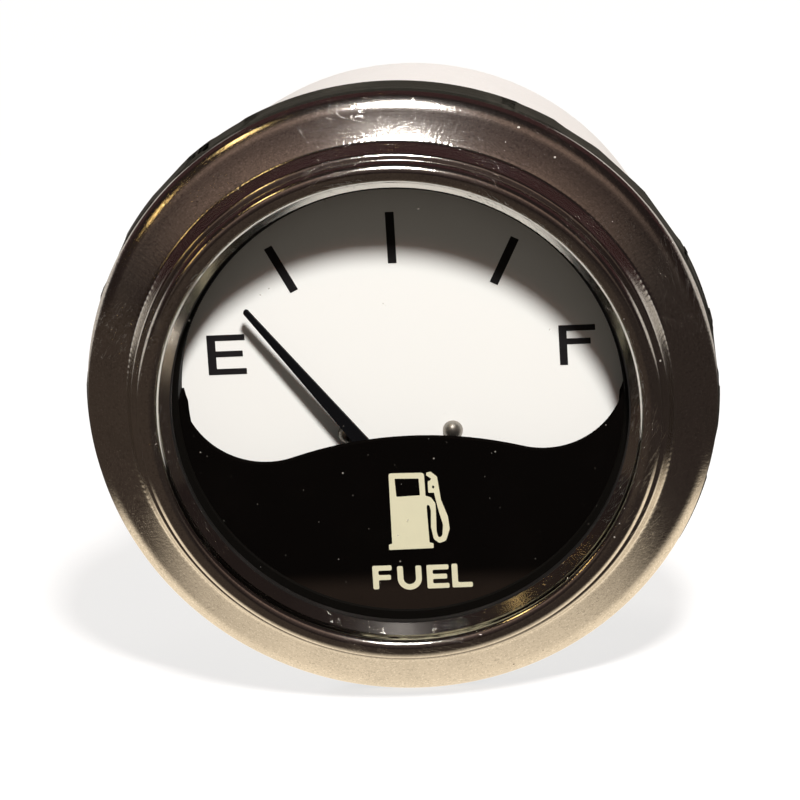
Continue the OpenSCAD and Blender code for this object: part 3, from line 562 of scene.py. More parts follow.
def spun_metal(name, base):
    """Spun sheet, satin on the band and polished on the lip: grain with painted glints and painted dark
    flecks, dents, scratches, dust.
    """
    f = new_material(name)
    radius, clock, along = f.polar()
    # Unrolled surface: millimetres round the bezel at its band, out from the axis and along it
    band_radius = 27.0
    round_mm = clock * band_radius
    radius_mm = radius * 1000.0
    along_mm = along * 1000.0
    unrolled = f.vector(round_mm, radius_mm, along_mm)
    grain = f.noise(5.2, 3.0, unrolled, 0.7)
    fine = f.noise(11.0, 1.0, unrolled)
    streak = f.noise(1.0, 2.0, f.vector(clock * 95.0, radius_mm * 1.1, along_mm * 1.1), 0.7)
    turning = f.noise(1.0, 2.0, f.vector(clock * 1.5, radius_mm * 9.0, along_mm * 9.0), 0.6)
    satin = radius_mm.over(25.6, 26.9)
    polished = radius_mm.over(23.9, 23.5)
    # Row of small dents that the spinning tool left along the crease
    crease = radius_mm.over(26.5, 26.75) * radius_mm.over(27.2, 26.95)
    dent_count = 285.0
    dents = (clock * dent_count).sine() * 0.5 + 0.5
    dents = dents * crease * f.noise(0.16, 1.0, unrolled).over(0.3, 0.6)
    # Scratches are the thin lines where a stretched noise passes its middle
    slanted = f.vector(round_mm * 0.35, radius_mm * 2.6 + round_mm * 0.9, along_mm)
    scratch = (f.noise(1.0, 2.0, slanted, 0.5) - 0.5).size().over(0.006, 0.002)
    scratch = scratch * f.noise(0.12, 1.0, unrolled).over(0.5, 0.6)
    worn = f.noise(0.22, 4.0, unrolled, 0.6)
    dull = f.noise(0.8, 4.0, unrolled, 0.65)
    dust = f.specks(1.0, 0.03, 0.12, unrolled)
    # Painted glints: pale specks in the colour that stand for grain facets catching the lamp
    painted_glints = f.noise(4.6, 2.0, unrolled, 0.8)
    # Painted dark flecks: darker specks in the colour that stand for grain facets mirroring the dark
    # surroundings; shifted, so that they don't follow the painted glints
    painted_dark_flecks = f.noise(3.7, 2.0, f.vector(round_mm + 40.0, radius_mm, along_mm), 0.8)
    tone = f.layers(
        base, (worn.over(0.35, 0.75) * 0.5, 0.82),
        (painted_glints.over(0.5, 0.74) * 0.6 * (1.0 - polished), (1.0, 0.98, 0.95)),
        (painted_dark_flecks.over(0.5, 0.74) * 0.5 * (1.0 - polished), 0.5), (dust * 0.8, (0.55, 0.5, 0.42)),
    )
    roughness = 0.1 + 0.02 * satin - 0.03 * polished + 0.03 * dull + 0.03 * grain + 0.25 * dust
    height = 0.5 * grain + 0.4 * fine + 1.7 * streak + 0.3 * turning
    height = height * (0.7 + 0.3 * satin - 0.6 * polished)
    height = height + 1.6 * dents - 1.2 * scratch + 1.5 * dust
    return f.coat(tone, roughness, height, 0.008, metallic=1.0 - 0.7 * dust)


def plated_metal(name, base, roughness, grain_scale=900.0, stain=0.35, depth=0.006, metallic=0.95):
    """Plated or turned metal: soft stains, fine grain and dull patches."""
    f = new_material(name)
    stains = f.noise(90.0, 5.0, None, 0.6)
    fine = f.noise(grain_scale, 3.0, None, 0.65)
    speckle = f.noise(grain_scale * 3.5, 1.0)
    dull = (stains.over(0.4, 0.75) * stain, 0.62)
    tone = f.layers(base, dull, (speckle.over(0.62, 0.75) * 0.25, 1.2))
    rough = roughness + 0.18 * stains.over(0.35, 0.8) + 0.08 * fine
    return f.coat(tone, rough, fine + 0.4 * speckle, depth, metallic=metallic)


def turned_metal(name, base, roughness):
    """Metal turned on a lathe: fine rings along and across, and a few darker stains."""
    f = new_material(name)
    x, y, z = f.axes()
    rings = f.noise(1.0, 2.0, f.vector(x * 300.0, y * 6000.0, z * 300.0), 0.6)
    stains = f.noise(160.0, 4.0, None, 0.6)
    fine = f.noise(2500.0, 2.0)
    tone = f.layers(base, (stains.over(0.42, 0.75) * 0.45, 0.55))
    rough = roughness + 0.15 * stains + 0.1 * rings
    return f.coat(tone, rough, rings + 0.3 * fine, 0.006, metallic=0.95)


def dial_paint(name, base):
    """Matt off-white paint with a faint stipple, dust and a few small dark specks."""
    f = new_material(name)
    stipple = f.noise(3200.0, 2.0)
    cloud = f.noise(110.0, 3.0)
    dark = f.specks(620.0, 0.02, 0.13)
    pale = f.specks(900.0, 0.02, 0.12)
    tone = f.layers(
        base, (cloud * 0.08, 0.93), (dark * 0.6, (0.3, 0.27, 0.22)), (pale * 0.5, (1.0, 0.99, 0.95))
    )
    height = stipple + 1.5 * dark + 1.5 * pale
    return f.coat(tone, 0.62 + 0.15 * stipple, height, 0.004, specular_level=0.3)


def print_ink(name, base, edge):
    """Screen-printed ink: slightly uneven, with worn pinholes."""
    f = new_material(name)
    grain = f.noise(4200.0, 3.0)
    pinholes = f.specks(1500.0, 0.03, 0.14)
    patches = f.noise(700.0, 3.0)
    bare = [0.5 * (a + b) for a, b in zip(base, (0.3, 0.28, 0.25))]
    tone = f.layers(base, (patches.over(0.35, 0.7) * 0.35, edge), (pinholes * 0.35, bare))
    return f.coat(tone, 0.5 + 0.2 * grain, grain, 0.003, specular_level=0.3)


def mask_plastic(name, base):
    """Dull black moulding with a fine texture, a painted warm sheen toward its foot, and grey dust."""
    f = new_material(name)
    z = f.axes()[2]
    texture = f.noise(2600.0, 2.0)
    cloud = f.noise(120.0, 4.0)
    dust = f.specks(700.0, 0.035, 0.12)
    fluff = f.specks(1700.0, 0.02, 0.16)
    # Painted sheen: a warm brown that lightens the black toward the bottom of the mask
    low = (z * 1000.0).over(-17.5, -20.0)
    tone = f.layers(
        base, (low * 0.8, (0.02, 0.014, 0.011)), (cloud.over(0.45, 0.8) * 0.4, 1.8),
        (dust * 0.25, (0.25, 0.22, 0.18)), (fluff * 0.2, (0.3, 0.28, 0.25)),
    )
    return f.coat(tone, 0.36 + 0.14 * cloud, texture + 2.0 * dust, 0.003, specular_level=0.0)


def rubber(name, base, grain=1300.0):
    """Cut rubber: a dull open grain, chalky patches and small nicks."""
    f = new_material(name)
    x, y, z = f.axes()
    pores = f.noise(grain, 4.0, None, 0.7)
    chalk = f.noise(240.0, 4.0, None, 0.65)
    nicks = f.specks(520.0, 0.12, 0.22)
    saw = f.noise(1.0, 2.0, f.vector(x * 900.0, y * 5200.0, z * 900.0))
    tone = f.layers(base, (chalk.over(0.45, 0.75) * 0.55, 2.2), (pores.over(0.55, 0.7) * 0.3, 0.4))
    height = pores + 0.6 * saw - 0.6 * nicks
    return f.coat(tone, 0.62 + 0.25 * chalk, height, 0.05, specular_level=0.35)


def black_paint(name, base, roughness, shine=0.45):
    """Satin black paint with orange peel and rubbed spots."""
    f = new_material(name)
    peel = f.noise(1400.0, 2.0)
    rubbed = f.noise(260.0, 5.0, None, 0.65)
    tone = f.layers(base, (rubbed.over(0.6, 0.8) * 0.35, scaled(base, 4.0, 0.06)))
    return f.coat(tone, roughness + 0.2 * rubbed, peel, 0.005, specular_level=shine)


def laminated_board(name, base):
    """Paper laminate: layers seen on the cut edge, fibres and a resin sheen."""
    f = new_material(name)
    x, y, z = f.axes()
    layers = f.noise(1.0, 2.0, f.vector(x * 60.0, y * 9000.0, z * 60.0))
    fibres = f.noise(1.0, 4.0, f.vector(x * 900.0, y * 900.0, z * 3600.0), 0.65)
    spots = f.specks(700.0, 0.06, 0.18)
    resin = (layers.over(0.45, 0.65) * 0.35, 1.35)
    tone = f.layers(base, (fibres * 0.5, 0.55), resin, (spots * 0.5, 0.35))
    return f.coat(tone, 0.36 + 0.2 * fibres, fibres + layers, 0.012, coat_weight=0.15)


def moulded_resin(name, base):
    """Brown moulding resin with a flow pattern and mould grain."""
    f = new_material(name)
    flow = f.noise(1.0, 4.0, f.place((260.0, 900.0, 260.0)), 0.6)
    grain = f.noise(2400.0, 2.0)
    tone = f.layers(base, (flow.over(0.4, 0.7) * 0.6, 1.7))
    return f.coat(tone, 0.4 + 0.2 * flow, grain + 0.5 * flow, 0.006)


def enamelled_wire(name, base):
    """Fine copper wire wound layer on layer, seen as turns round the coil's axis, with painted shade
    between the turns.
    """
    f = new_material(name)
    x, _, z = f.axes()
    lean = math.radians(50)
    wire = 0.22 * MM
    along = x.size() * math.sin(lean) + z * math.cos(lean)
    drift = f.noise(260.0, 2.0)
    turn = (along * (2 * math.pi / wire) + drift * 5.0).sine()
    crest = turn * 0.5 + 0.5
    patches = f.noise(420.0, 3.0)
    # Darker between the turns, down to 0.3 of the copper: painted shade in the grooves between the wires
    tone = f.layers(base, (1.0 - crest, 0.3), (patches.over(0.5, 0.75) * 0.4, 1.4))
    return f.coat(tone, 0.28 + 0.2 * patches, crest, 0.06, metallic=0.85, coat_weight=0.4)


def clear_glass(name):
    """Flat glass: see-through, with the lamp's gloss, a faint smear and specks of dust."""
    f = new_material(name)
    smear = f.noise(75.0, 5.0, None, 0.6)
    dust = f.specks(1000.0, 0.03, 0.11)
    fine = f.specks(2300.0, 0.02, 0.13)
    rough = 0.01 + 0.06 * smear.over(0.5, 0.8)
    gloss = f.principled(base_color=(1.0, 1.0, 1.0), metallic=1.0, roughness=rough)
    grit = f.principled(base_color=(0.55, 0.52, 0.46), roughness=0.9)
    pane = f.mix(f.front_gloss(1.45) * 0.1, f.clear((0.985, 0.99, 0.98)), gloss)
    return f.surface(f.mix(dust * 0.45 + fine * 0.3, pane, grit))


def bulb_envelope(name):
    """Thin blown glass, a little smoked, with the lamp's gloss."""
    f = new_material(name)
    smoke = f.noise(420.0, 3.0)
    rough = 0.03 + 0.1 * smoke
    gloss = f.principled(base_color=(0.95, 0.95, 0.92), metallic=1.0, roughness=rough)
    return f.surface(f.mix(f.front_gloss(1.5) + 0.06 * smoke, f.clear((0.9, 0.88, 0.82)), gloss))


def make_finishes(colours):
    """One material for each slot of the record, and for the two prints."""
    shades = {name: tuple(getattr(colours, name)) for name in FinishColours.__annotations__}
    zinc = shades["zinc"]
    brass = shades["brass"]
    cream = shades["print_cream"]
    return {
        "bezel_metal": spun_metal("spun bezel metal", shades["bright_metal"]),
        "clear_glass": clear_glass("gauge glass"),
        "seal_rubber": rubber("black seal rubber", (0.012, 0.011, 0.01), 2200.0),
        "black_ring": black_paint("satin black ring paint", (0.004, 0.0035, 0.003), 0.6, 0.08),
        "mask_black": mask_plastic("satin black mask", shades["mask_black"]),
        "dial_white": dial_paint("off-white dial paint", shades["dial_paint"]),
        "rivet_paint": turned_metal("bright rivet metal", (0.42, 0.39, 0.35), 0.3),
        "gasket_rubber": rubber("cut gasket rubber", shades["rubber"]),
        "case_plate": plated_metal("zinc plated case", zinc, 0.42, 900.0, 0.2, 0.006, 0.35),
        "pointer_black": black_paint("matt black pointer paint", (0.004, 0.004, 0.005), 0.6, 0.15),
        "bright_steel": turned_metal("turned steel", shades["steel"], 0.22),
        "soft_iron": plated_metal("annealed soft iron", shades["iron"], 0.45, 700.0, 0.6, 0.02),
        "movement_brass": plated_metal("stamped brass", brass, 0.28, 800.0, 0.4),
        "copper_wire": enamelled_wire("enamelled copper wire", (0.62, 0.24, 0.1)),
        "bobbin_resin": moulded_resin("brown bobbin resin", (0.13, 0.045, 0.022)),
        "insulator_board": laminated_board("brown laminated board", shades["board"]),
        "stud_brass": turned_metal("turned brass", brass, 0.2),
        "bulb_glass": bulb_envelope("bulb glass"),
        "dial_print": print_ink("black dial print", shades["print_black"], (0.02, 0.018, 0.02)),
        "mask_print": print_ink("cream mask print", cream, scaled(cream, 0.93)),
    }


def finish_of(slot):
    """The material made for a slot."""
    return bpy.data.materials[FINISH_NAMES[slot]]


def dress(piece, body, slot, finish=None, nodes=()):
    """Gives a new piece the material of its slot and its body, and hides the CAD nodes it stands for."""
    piece.data.materials.clear()
    piece.data.materials.append(finish_of(finish or slot))
    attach(piece, body)
    if nodes:
        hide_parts(*nodes)


class GAUGE_OT_finishes(bpy.types.Operator):
    """Make the materials and give every CAD node the one of its slot"""

    bl_idname = "gauge.finishes"
    bl_label = "Finishes"

    def execute(self, context):
        for slot, material in make_finishes(context.scene.gauge_finishes).items():
            FINISH_NAMES[slot] = material.name
        for part in frame["record"]["subparts"]:
            node = NODES[part["node"]]
            material = finish_of(part["material_slot"])
            for i in range(max(1, len(node.material_slots))):
                if i < len(node.material_slots):
                    node.material_slots[i].material = material
                else:
                    node.data.materials.append(material)
        return {"FINISHED"}


def chain(start, curves, steps=10):
    """Arcs that run smoothly into one another: radius, minus where hollow, and first and last bearing."""
    line = [Vector(start)]
    for radius, first, last in curves:
        turn = math.radians(first)
        centre = line[-1] - radius * Vector((math.cos(turn), math.sin(turn)))
        line += [Vector(point) for point in arc(centre, radius, first, last, steps)[1:]]
    return [tuple(point) for point in line]


def bezel_profile(sizes):
    """Closed outline of the spun sheet, from the crimp over the band and bead to the lip and back."""
    edge = sizes.outer_radius
    sheet = 0.5 * MM
    edge_round = 0.4 * MM
    back = 2.5 * MM
    crimp = edge - 2.4 * MM
    bead = Vector((24.55, 8.497)) * MM
    ridge = Vector((25.705, 7.616)) * MM
    foot = Vector((23.45, 8.05)) * MM
    lip = Vector((22.52, 7.15)) * MM
    lip_end = lip.y - 0.05 * MM
    lip_bend = (23.72 * MM, 7.75 * MM)
    # Bearings where a curve begins or ends, in degrees: 0 is outwards and 90 to the front
    shoulder_from = 45
    hollow_from = 64.4
    cove_from = 59
    wall_turn = 19
    ridge_to = 72
    bead_from = -11
    bead_to = 184
    band = (
        (sizes.edge_radius, 0, shoulder_from), (sizes.shoulder_radius, shoulder_from, hollow_from),
        (-sizes.hollow_radius, hollow_from, cove_from), (-sizes.cove_radius, cove_from, wall_turn),
    )
    inside = [(radius - sheet, last, first) for radius, first, last in reversed(band)]
    outside = chain((edge, sizes.foot_height), band)
    lean = math.radians(wall_turn)
    behind = Vector(outside[-1]) - sheet * Vector((math.cos(lean), math.sin(lean)))
    outline = [(crimp, back)]
    outline += arc((edge - edge_round, back + edge_round), edge_round, -90, 0, 6)
    outline += outside
    outline += arc(ridge, sizes.ridge_radius, wall_turn, ridge_to, 8)
    outline += arc(bead, sizes.bead_radius, bead_from, bead_to, 34)
    outline += [tuple(foot), tuple(lip), (lip.x, lip_end), (lip.x + sheet, lip_end), lip_bend]
    outline += arc(bead, sizes.bead_radius - sheet, 215, 0, 12)
    outline += arc(ridge, sizes.ridge_radius - sheet, ridge_to, wall_turn, 3)
    outline += chain(behind, inside, 6)
    outline += [(edge - sheet, back + sheet), (crimp, back + sheet)]
    return outline


class GAUGE_OT_bezel(bpy.types.Operator):
    """Spin the bright cover round the glass"""

    bl_idname = "gauge.bezel"
    bl_label = "Bezel"

    def execute(self, context):
        sizes = context.scene.gauge_bezel
        piece = open_piece("bezel_shell")
        spin_profile(bezel_profile(sizes), sizes.around)
        close_piece(piece, math.radians(40))
        dress(piece, "gauge", "bezel_metal", nodes=("bezel",))
        return {"FINISHED"}


def letter_e(x, up, width, height, stem, bar, middle, reach):
    """Outline of a plain capital E, from its lower left corner."""
    return [
        (x, up), (x, up + height), (x + width, up + height), (x + width, up + height - bar),
        (x + stem, up + height - bar), (x + stem, middle + bar / 2), (x + reach, middle + bar / 2),
        (x + reach, middle - bar / 2), (x + stem, middle - bar / 2), (x + stem, up + bar),
        (x + width, up + bar), (x + width, up),
    ]


def letter_f(x, up, width, height, stem, bar, middle, reach):
    """Outline of a plain capital F, from its lower left corner."""
    return letter_e(x, up, width, height, stem, bar, middle, reach)[:9] + [(x + stem, up)]


def letter_l(x, up, width, height, stem, bar):
    """Outline of a plain capital L, from its lower left corner."""
    return [
        (x, up), (x, up + height), (x + stem, up + height), (x + stem, up + bar),
        (x + width, up + bar), (x + width, up),
    ]


def letter_u(x, up, width, height, stroke_w):
    """Outline of a plain capital U with a round foot, from its lower left corner."""
    outer = width / 2
    inner = outer - stroke_w
    centre = (x + outer, up + outer)
    outline = [(x, up + height), (x + stroke_w, up + height)]
    outline += arc(centre, inner, 180, 360, 14)
    outline += [(x + width - stroke_w, up + height), (x + width, up + height)]
    outline += arc(centre, outer, 0, -180, 18)
    return outline


def tick(inner, outer, width):
    """Outline of a tick between two points."""
    low = Vector(inner)
    high = Vector(outer)
    side = Vector((-(high - low).y, (high - low).x)).normalized() * width / 2
    return [tuple(corner) for corner in (low - side, high - side, high + side, low + side)]


class GAUGE_OT_spacer(bpy.types.Operator):
    """Spin the black ring between the glass and the mask, with its rim turned inwards"""

    bl_idname = "gauge.spacer"
    bl_label = "Spacer ring"

    def execute(self, context):
        sizes = context.scene.gauge_bezel
        front, back = front_and_back("spacer_ring")
        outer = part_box("spacer_ring")[1].x
        inner = sizes.sight_radius
        soft = 0.15 * MM
        outline = [
            (inner, back), (outer, back), (outer, front), (inner + soft, front), (inner, front - soft),
        ]
        piece = open_piece("spacer_shell")
        spin_profile(outline, sizes.around)
        close_piece(piece, math.radians(40))
        dress(piece, "gauge", "black_ring", nodes=("spacer_ring",))
        return {"FINISHED"}


class GAUGE_OT_dial_marks(bpy.types.Operator):
    """Print the three ticks, the E and the F on the dial"""

    bl_idname = "gauge.dial_marks"
    bl_label = "Dial marks"

    def execute(self, context):
        sizes = context.scene.gauge_dial_marks
        front = front_and_back("dial_plate")[0]
        stem = sizes.stem_width / MM
        bar = sizes.bar_width / MM
        width = sizes.tick_width / MM
        outlines = [
            tick((-0.26, 13.07), (-0.26, 18.3), width),
            tick((9.53, 10.59), (11.84, 15.16), width),
            tick((-10.05, 10.59), (-12.36, 15.16), width),
            letter_e(-19.05, 2.22, 3.78, 4.12, stem, bar, 4.36, 3.5),
            letter_f(15.62, 1.9, 3.6, 4.1, stem * 0.93, bar, 4.32, 3.1),
        ]
        piece = open_piece("dial_marks")
        for outline in outlines:
            add_plate([face_points(rounded(outline, 0.04, 2), front)], sizes.print_rise)
        close_piece(piece)
        dress(piece, "gauge", "pointer_black", "dial_print")
        return {"FINISHED"}


PUMP_BODY = (
    (-1.72, -14.85, 0.1), (-1.66, -8.0, 0.05), (-1.66, -7.45, 0.5), (1.84, -7.5, 0.5), (1.84, -8.2, 0.05),
    (1.86, -9.95, 0.1), (2.38, -10.1, 0.35), (2.78, -10.75, 0.3), (2.8, -11.4, 0.3),
    (2.74, -13.7, 0.5), (2.86, -14.28, 0.2), (3.08, -14.36, 0.2), (3.3, -14.1, 0.25),
    (3.42, -13.0, 0.8), (3.1, -11.7, 0.5), (2.78, -10.0, 0.3), (2.72, -9.62, 0.1),
    (2.16, -9.62, 0.1), (2.16, -8.42, 0.12), (2.4, -8.34, 0.05), (2.52, -8.14, 0.05),
    (2.05, -7.78, 0.1), (2.08, -7.5, 0.12), (2.5, -7.42, 0.2), (3.1, -7.95, 0.3),
    (3.2, -8.9, 0.3), (3.36, -10.4, 0.5), (3.95, -12.2, 0.6), (4.05, -13.5, 0.6),
    (3.62, -14.72, 0.4), (2.95, -14.95, 0.3), (2.42, -14.5, 0.4), (2.22, -13.2, 0.5),
    (2.3, -11.5, 0.3), (2.2, -10.95, 0.25), (1.98, -10.85, 0.1), (1.9, -11.1, 0.1),
    (1.98, -14.85, 0.1), (2.36, -14.95, 0.12), (2.36, -15.45, 0.12),
    (-2.06, -15.5, 0.12), (-2.06, -14.95, 0.12),
)
PUMP_WINDOW = ((-1.1, -8.02), (1.28, -8.08), (1.32, -9.86), (-1.02, -9.94))
PUMP_NOZZLE_HOLE = ((2.6, -8.82), (2.8, -8.95), (2.72, -9.24), (2.54, -9.1))


class GAUGE_OT_mask_marks(bpy.types.Operator):
    """Print the pump sign and the word under it on the mask"""

    bl_idname = "gauge.mask_marks"
    bl_label = "Mask marks"

    def execute(self, context):
        sizes = context.scene.gauge_mask_marks
        front = front_and_back("dial_mask")[0]
        w = sizes.stroke_width / MM
        r = sizes.corner_radius / MM
        letters = [
            letter_f(-3.86, -19.62, 1.92, 2.48, w, w * 0.9, -18.4, 1.8),
            letter_u(-1.4, -19.78, 2.4, 2.52, w),
            letter_e(1.52, -19.72, 2.18, 2.48, w, w * 0.88, -18.47, 2.0),
            letter_l(4.0, -19.7, 2.02, 2.5, w, w * 0.9),
        ]
        piece = open_piece("mask_marks")
        for outline in letters:
            add_plate([face_points(rounded(outline, r, 3), front)], sizes.print_rise)
        pump = [rounded(PUMP_BODY, r), rounded(PUMP_WINDOW, 0.12), rounded(PUMP_NOZZLE_HOLE, 0.08)]
        add_plate([face_points(outline, front) for outline in pump], sizes.print_rise)
        close_piece(piece)
        dress(piece, "gauge", "dial_white", "mask_print")
        return {"FINISHED"}


class GAUGE_OT_panel_gasket(bpy.types.Operator):
    """Spin the rubber ring and trim its outside with straight cuts, as if by hand"""

    bl_idname = "gauge.panel_gasket"
    bl_label = "Panel gasket"

    def execute(self, context):
        sizes = context.scene.gauge_gasket
        front, back = front_and_back("panel_gasket")
        middle = (front + back) / 2
        seam = 0.12 * MM
        soft = 0.1 * MM
        outer = sizes.outer_radius
        outline = [
            (sizes.inner_radius, back), (outer - soft, back), (outer, back + soft),
            (outer, middle - seam), (outer - sizes.groove_depth, middle), (outer, middle + seam),
            (outer, front - soft), (outer - soft, front), (sizes.inner_radius, front),
        ]
        piece = open_piece("gasket_ring")
        spin_profile(outline, 288)
        for clock, reach in GASKET_CUTS:
            direction = polar(clock, 1.0, 0.0)
            cut_beyond(direction * reach * MM, direction)
        close_piece(piece, math.radians(20))
        dress(piece, "gauge", "gasket_rubber", nodes=("panel_gasket",))
        return {"FINISHED"}


def thread_body(name, sizes, start, end):
    """Thread between two heights on the gauge's axis, with flat closed ends."""
    pitch = sizes.pitch
    turns = math.ceil((start - end) / pitch) + 2
    first = start + pitch
    root = sizes.root_radius
    crest = sizes.crest_radius
    # One turn's profile, as radius and share of the pitch
    flank = ((root, 0.0), (root, 0.1), (crest, 0.46), (crest, 0.58), (root, 0.94), (root, 1.0))
    piece = open_piece(name)
    draw_line(profile_points([(radius, first - share * pitch) for radius, share in flank]))
    bpy.ops.object.mode_set(mode="OBJECT")
    apply_modifier(
        piece, "SCREW", axis="Y", angle=2 * math.pi, screw_offset=pitch, iterations=turns,
        steps=sizes.around, render_steps=sizes.around, use_merge_vertices=True,
        merge_threshold=MERGE_DISTANCE,
    )
    edit_again(piece)
    for place, side in ((start, -1.0), (end, 1.0)):
        cut_beyond(face_point(0.0, 0.0, place), (0.0, side, 0.0))
    return piece


def repeat_at(places):
    """Moves the whole mesh from the axis to the first place and copies it to each of the others."""
    bpy.ops.mesh.select_all(action="SELECT")
    bpy.ops.transform.translate(value=face_point(*places[0], 0.0))
    for here, there in zip(places, places[1:]):
        step = face_point(there[0] - here[0], there[1] - here[1], 0.0)
        bpy.ops.mesh.duplicate_move(TRANSFORM_OT_translate={"value": step})


TERMINAL_PLACES = ((-11 * MM, 12 * MM), (0.0, 12 * MM), (11 * MM, 12 * MM))
CLAMP_PLACES = ((-17.5 * MM, -6 * MM), (17.5 * MM, -6 * MM))


def stud_profile(sizes, front, head_radius, shank, tip):
    """Profile of a stud: head, shank as radius and end of each part, threaded core and chamfered tip."""
    head_back = front - 1.3 * MM
    core = sizes.root_radius + 0.01 * MM
    chamfer = 0.35 * MM
    soft = 0.15 * MM
    outline = [
        (0.0, front), (head_radius - soft, front), (head_radius, front - soft),
        (head_radius, head_back + soft), (head_radius - soft, head_back),
    ]
    start = head_back
    for radius, end in shank:
        outline += [(radius, start), (radius, end)]
        start = end
    return outline + [(core, start), (core, tip + chamfer), (core - chamfer, tip), (0.0, tip)]


def make_studs(name, node, sizes, head_radius, shank, places, slot):
    """Threaded studs of one kind, on the gauge's body, in place of the node's plain ones."""
    front, tip = front_and_back(node)
    piece = thread_body(name, sizes, shank[-1][1], tip + 0.3 * MM)
    spin_profile(stud_profile(sizes, front, head_radius, shank, tip), sizes.around, closed=False)
    repeat_at(places)
    close_piece(piece)
    dress(piece, "gauge", slot, nodes=(node,))


class GAUGE_OT_studs(bpy.types.Operator):
    """Cut the threads of the three terminal studs and the two clamp studs"""

    bl_idname = "gauge.studs"
    bl_label = "Threaded studs"

    def execute(self, context):
        sizes = context.scene.gauge_threads
        crest = sizes.crest_radius
        case_back = front_and_back("case_cup")[1]
        terminal_shank = [(crest, -27.4 * MM)]
        clamp_shank = [(crest + 0.3 * MM, case_back), (crest, case_back - 0.5 * MM)]
        make_studs(
            "terminal_threads", "terminal_studs", sizes, 3.4 * MM, terminal_shank, TERMINAL_PLACES,
            "stud_brass",
        )
        make_studs(
            "clamp_threads", "clamp_studs", sizes, 3.2 * MM, clamp_shank, CLAMP_PLACES, "bright_steel"
        )
        return {"FINISHED"}


class GAUGE_OT_nuts(bpy.types.Operator):
    """Turn the corners of the three hexagon nuts and countersink their holes"""

    bl_idname = "gauge.nuts"
    bl_label = "Terminal nuts"

    def turned_tool(self, name, profile):
        """A turned solid that cuts the nut."""
        tool = open_piece(name)
        spin_profile(profile, 72, closed=False)
        return close_piece(tool)

    def execute(self, context):
        sizes = context.scene.gauge_threads
        low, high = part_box("terminal_nuts")
        front, back = front_and_back("terminal_nuts")
        flats = high.z - low.z
        corner = flats / math.sqrt(3)
        bpy.ops.object.select_all(action="DESELECT")
        bpy.ops.mesh.primitive_cylinder_add(
            vertices=6, radius=corner, depth=front - back,
            location=face_point(0.0, 0.0, (front + back) / 2), rotation=(math.radians(90), 0.0, 0.0),
        )
        nut = bpy.context.object
        nut.name = "hexagon_nuts"
        nut.data.name = "hexagon_nuts"
        bpy.ops.object.transform_apply(location=True, rotation=True, scale=True)
        edit_again(nut)
        bpy.ops.mesh.select_all(action="SELECT")
        bpy.ops.transform.rotate(
            value=math.radians(30), orient_axis="Y", center_override=(0.0, 0.0, 0.0)
        )
        bpy.ops.object.mode_set(mode="OBJECT")
        # Both tools reach a little past the nut, so that no two faces lie in one plane
        spare = 0.2 * MM
        # Double cone that turns the corners
        rim = flats / 2 - 0.1 * MM
        wide = corner + 0.3 * MM
        slope = math.tan(math.radians(28))
        fall = (wide - rim) * slope
        tip = rim - spare / slope
        cone = [
            (0.0, front + spare), (tip, front + spare), (wide, front - fall),
            (wide, back + fall), (tip, back - spare), (0.0, back - spare),
        ]
        # Hole with a countersink at each end
        bore = sizes.crest_radius + 0.02 * MM
        sink = 0.45 * MM
        wide_sink = bore + sink + spare
        drill = [
            (0.0, front + spare), (wide_sink, front + spare), (bore, front - sink),
            (bore, back + sink), (wide_sink, back - spare), (0.0, back - spare),
        ]
        chamfer = self.turned_tool("nut chamfer", cone)
        hole = self.turned_tool("nut hole", drill)
        apply_modifier(nut, "BOOLEAN", operation="INTERSECT", object=chamfer, solver="EXACT")
        apply_modifier(nut, "BOOLEAN", operation="DIFFERENCE", object=hole, solver="EXACT")
        for tool in (chamfer, hole):
            bpy.data.objects.remove(tool)
        edit_again(nut)
        repeat_at(TERMINAL_PLACES)
        close_piece(nut, math.radians(25))
        dress(nut, "gauge", "stud_brass", nodes=("terminal_nuts",))
        return {"FINISHED"}


def area_lamp(name, place, size, power, shade, lights):
    """A round area lamp that looks at the gauge and lights matt surfaces or shows in the gloss."""
    data = bpy.data.lights.new(name, "AREA")
    data.shape = "DISK"
    data.size = size
    data.energy = power
    data.color = shade
    lamp = bpy.data.objects.new(name, data)
    bpy.context.scene.collection.objects.link(lamp)
    lamp.location = place
    lamp.rotation_euler = (-Vector(place)).to_track_quat("-Z", "Y").to_euler()
    lamp.visible_glossy = lights == "gloss"
    lamp.visible_diffuse = lights == "matt"


def floor_finish():
    """Pale paper: white to the camera with the gauge's soft shadow, and cream or dark in the metal."""
    f = new_material("pale studio floor")
    x, y = f.axes()[:2]
    x_mm = x * 1000.0
    y_mm = y * 1000.0
    weave = f.noise(900.0, 3.0)
    paper = f.principled(
        base_color=f.blend(weave * 0.04, (0.86, 0.85, 0.83), (0.8, 0.79, 0.77)),
        roughness=0.9, normal=f.bump(weave, 0.02 * MM),
    )
    # The metal sees cream paper near the gauge, a dark table farther off and a grey one far behind
    near = ((x * x + y * y) ** 0.5).over(0.065, 0.045) * y_mm.over(-15.5, -3.0)
    dark = f.blend(x_mm.over(-20.0, 40.0), (0.045, 0.033, 0.026), (0.028, 0.021, 0.018))
    dark = f.blend(y_mm.over(75.0, 110.0), dark, (0.5, 0.46, 0.42))
    mirrored = f.emission(f.blend(near, dark, (0.95, 0.8, 0.6)), 1.2)
    seen = f.mix(0.72, paper, f.emission((1, 1, 1), 1.0))
    dim = f.emission((0.09, 0.075, 0.062), 1.0)
    shown = f.mix(f.rays("Is Diffuse Ray"), seen, dim)
    f.holder.cycles.emission_sampling = "NONE"
    return f.surface(f.mix(f.rays("Is Glossy Ray"), shown, mirrored))


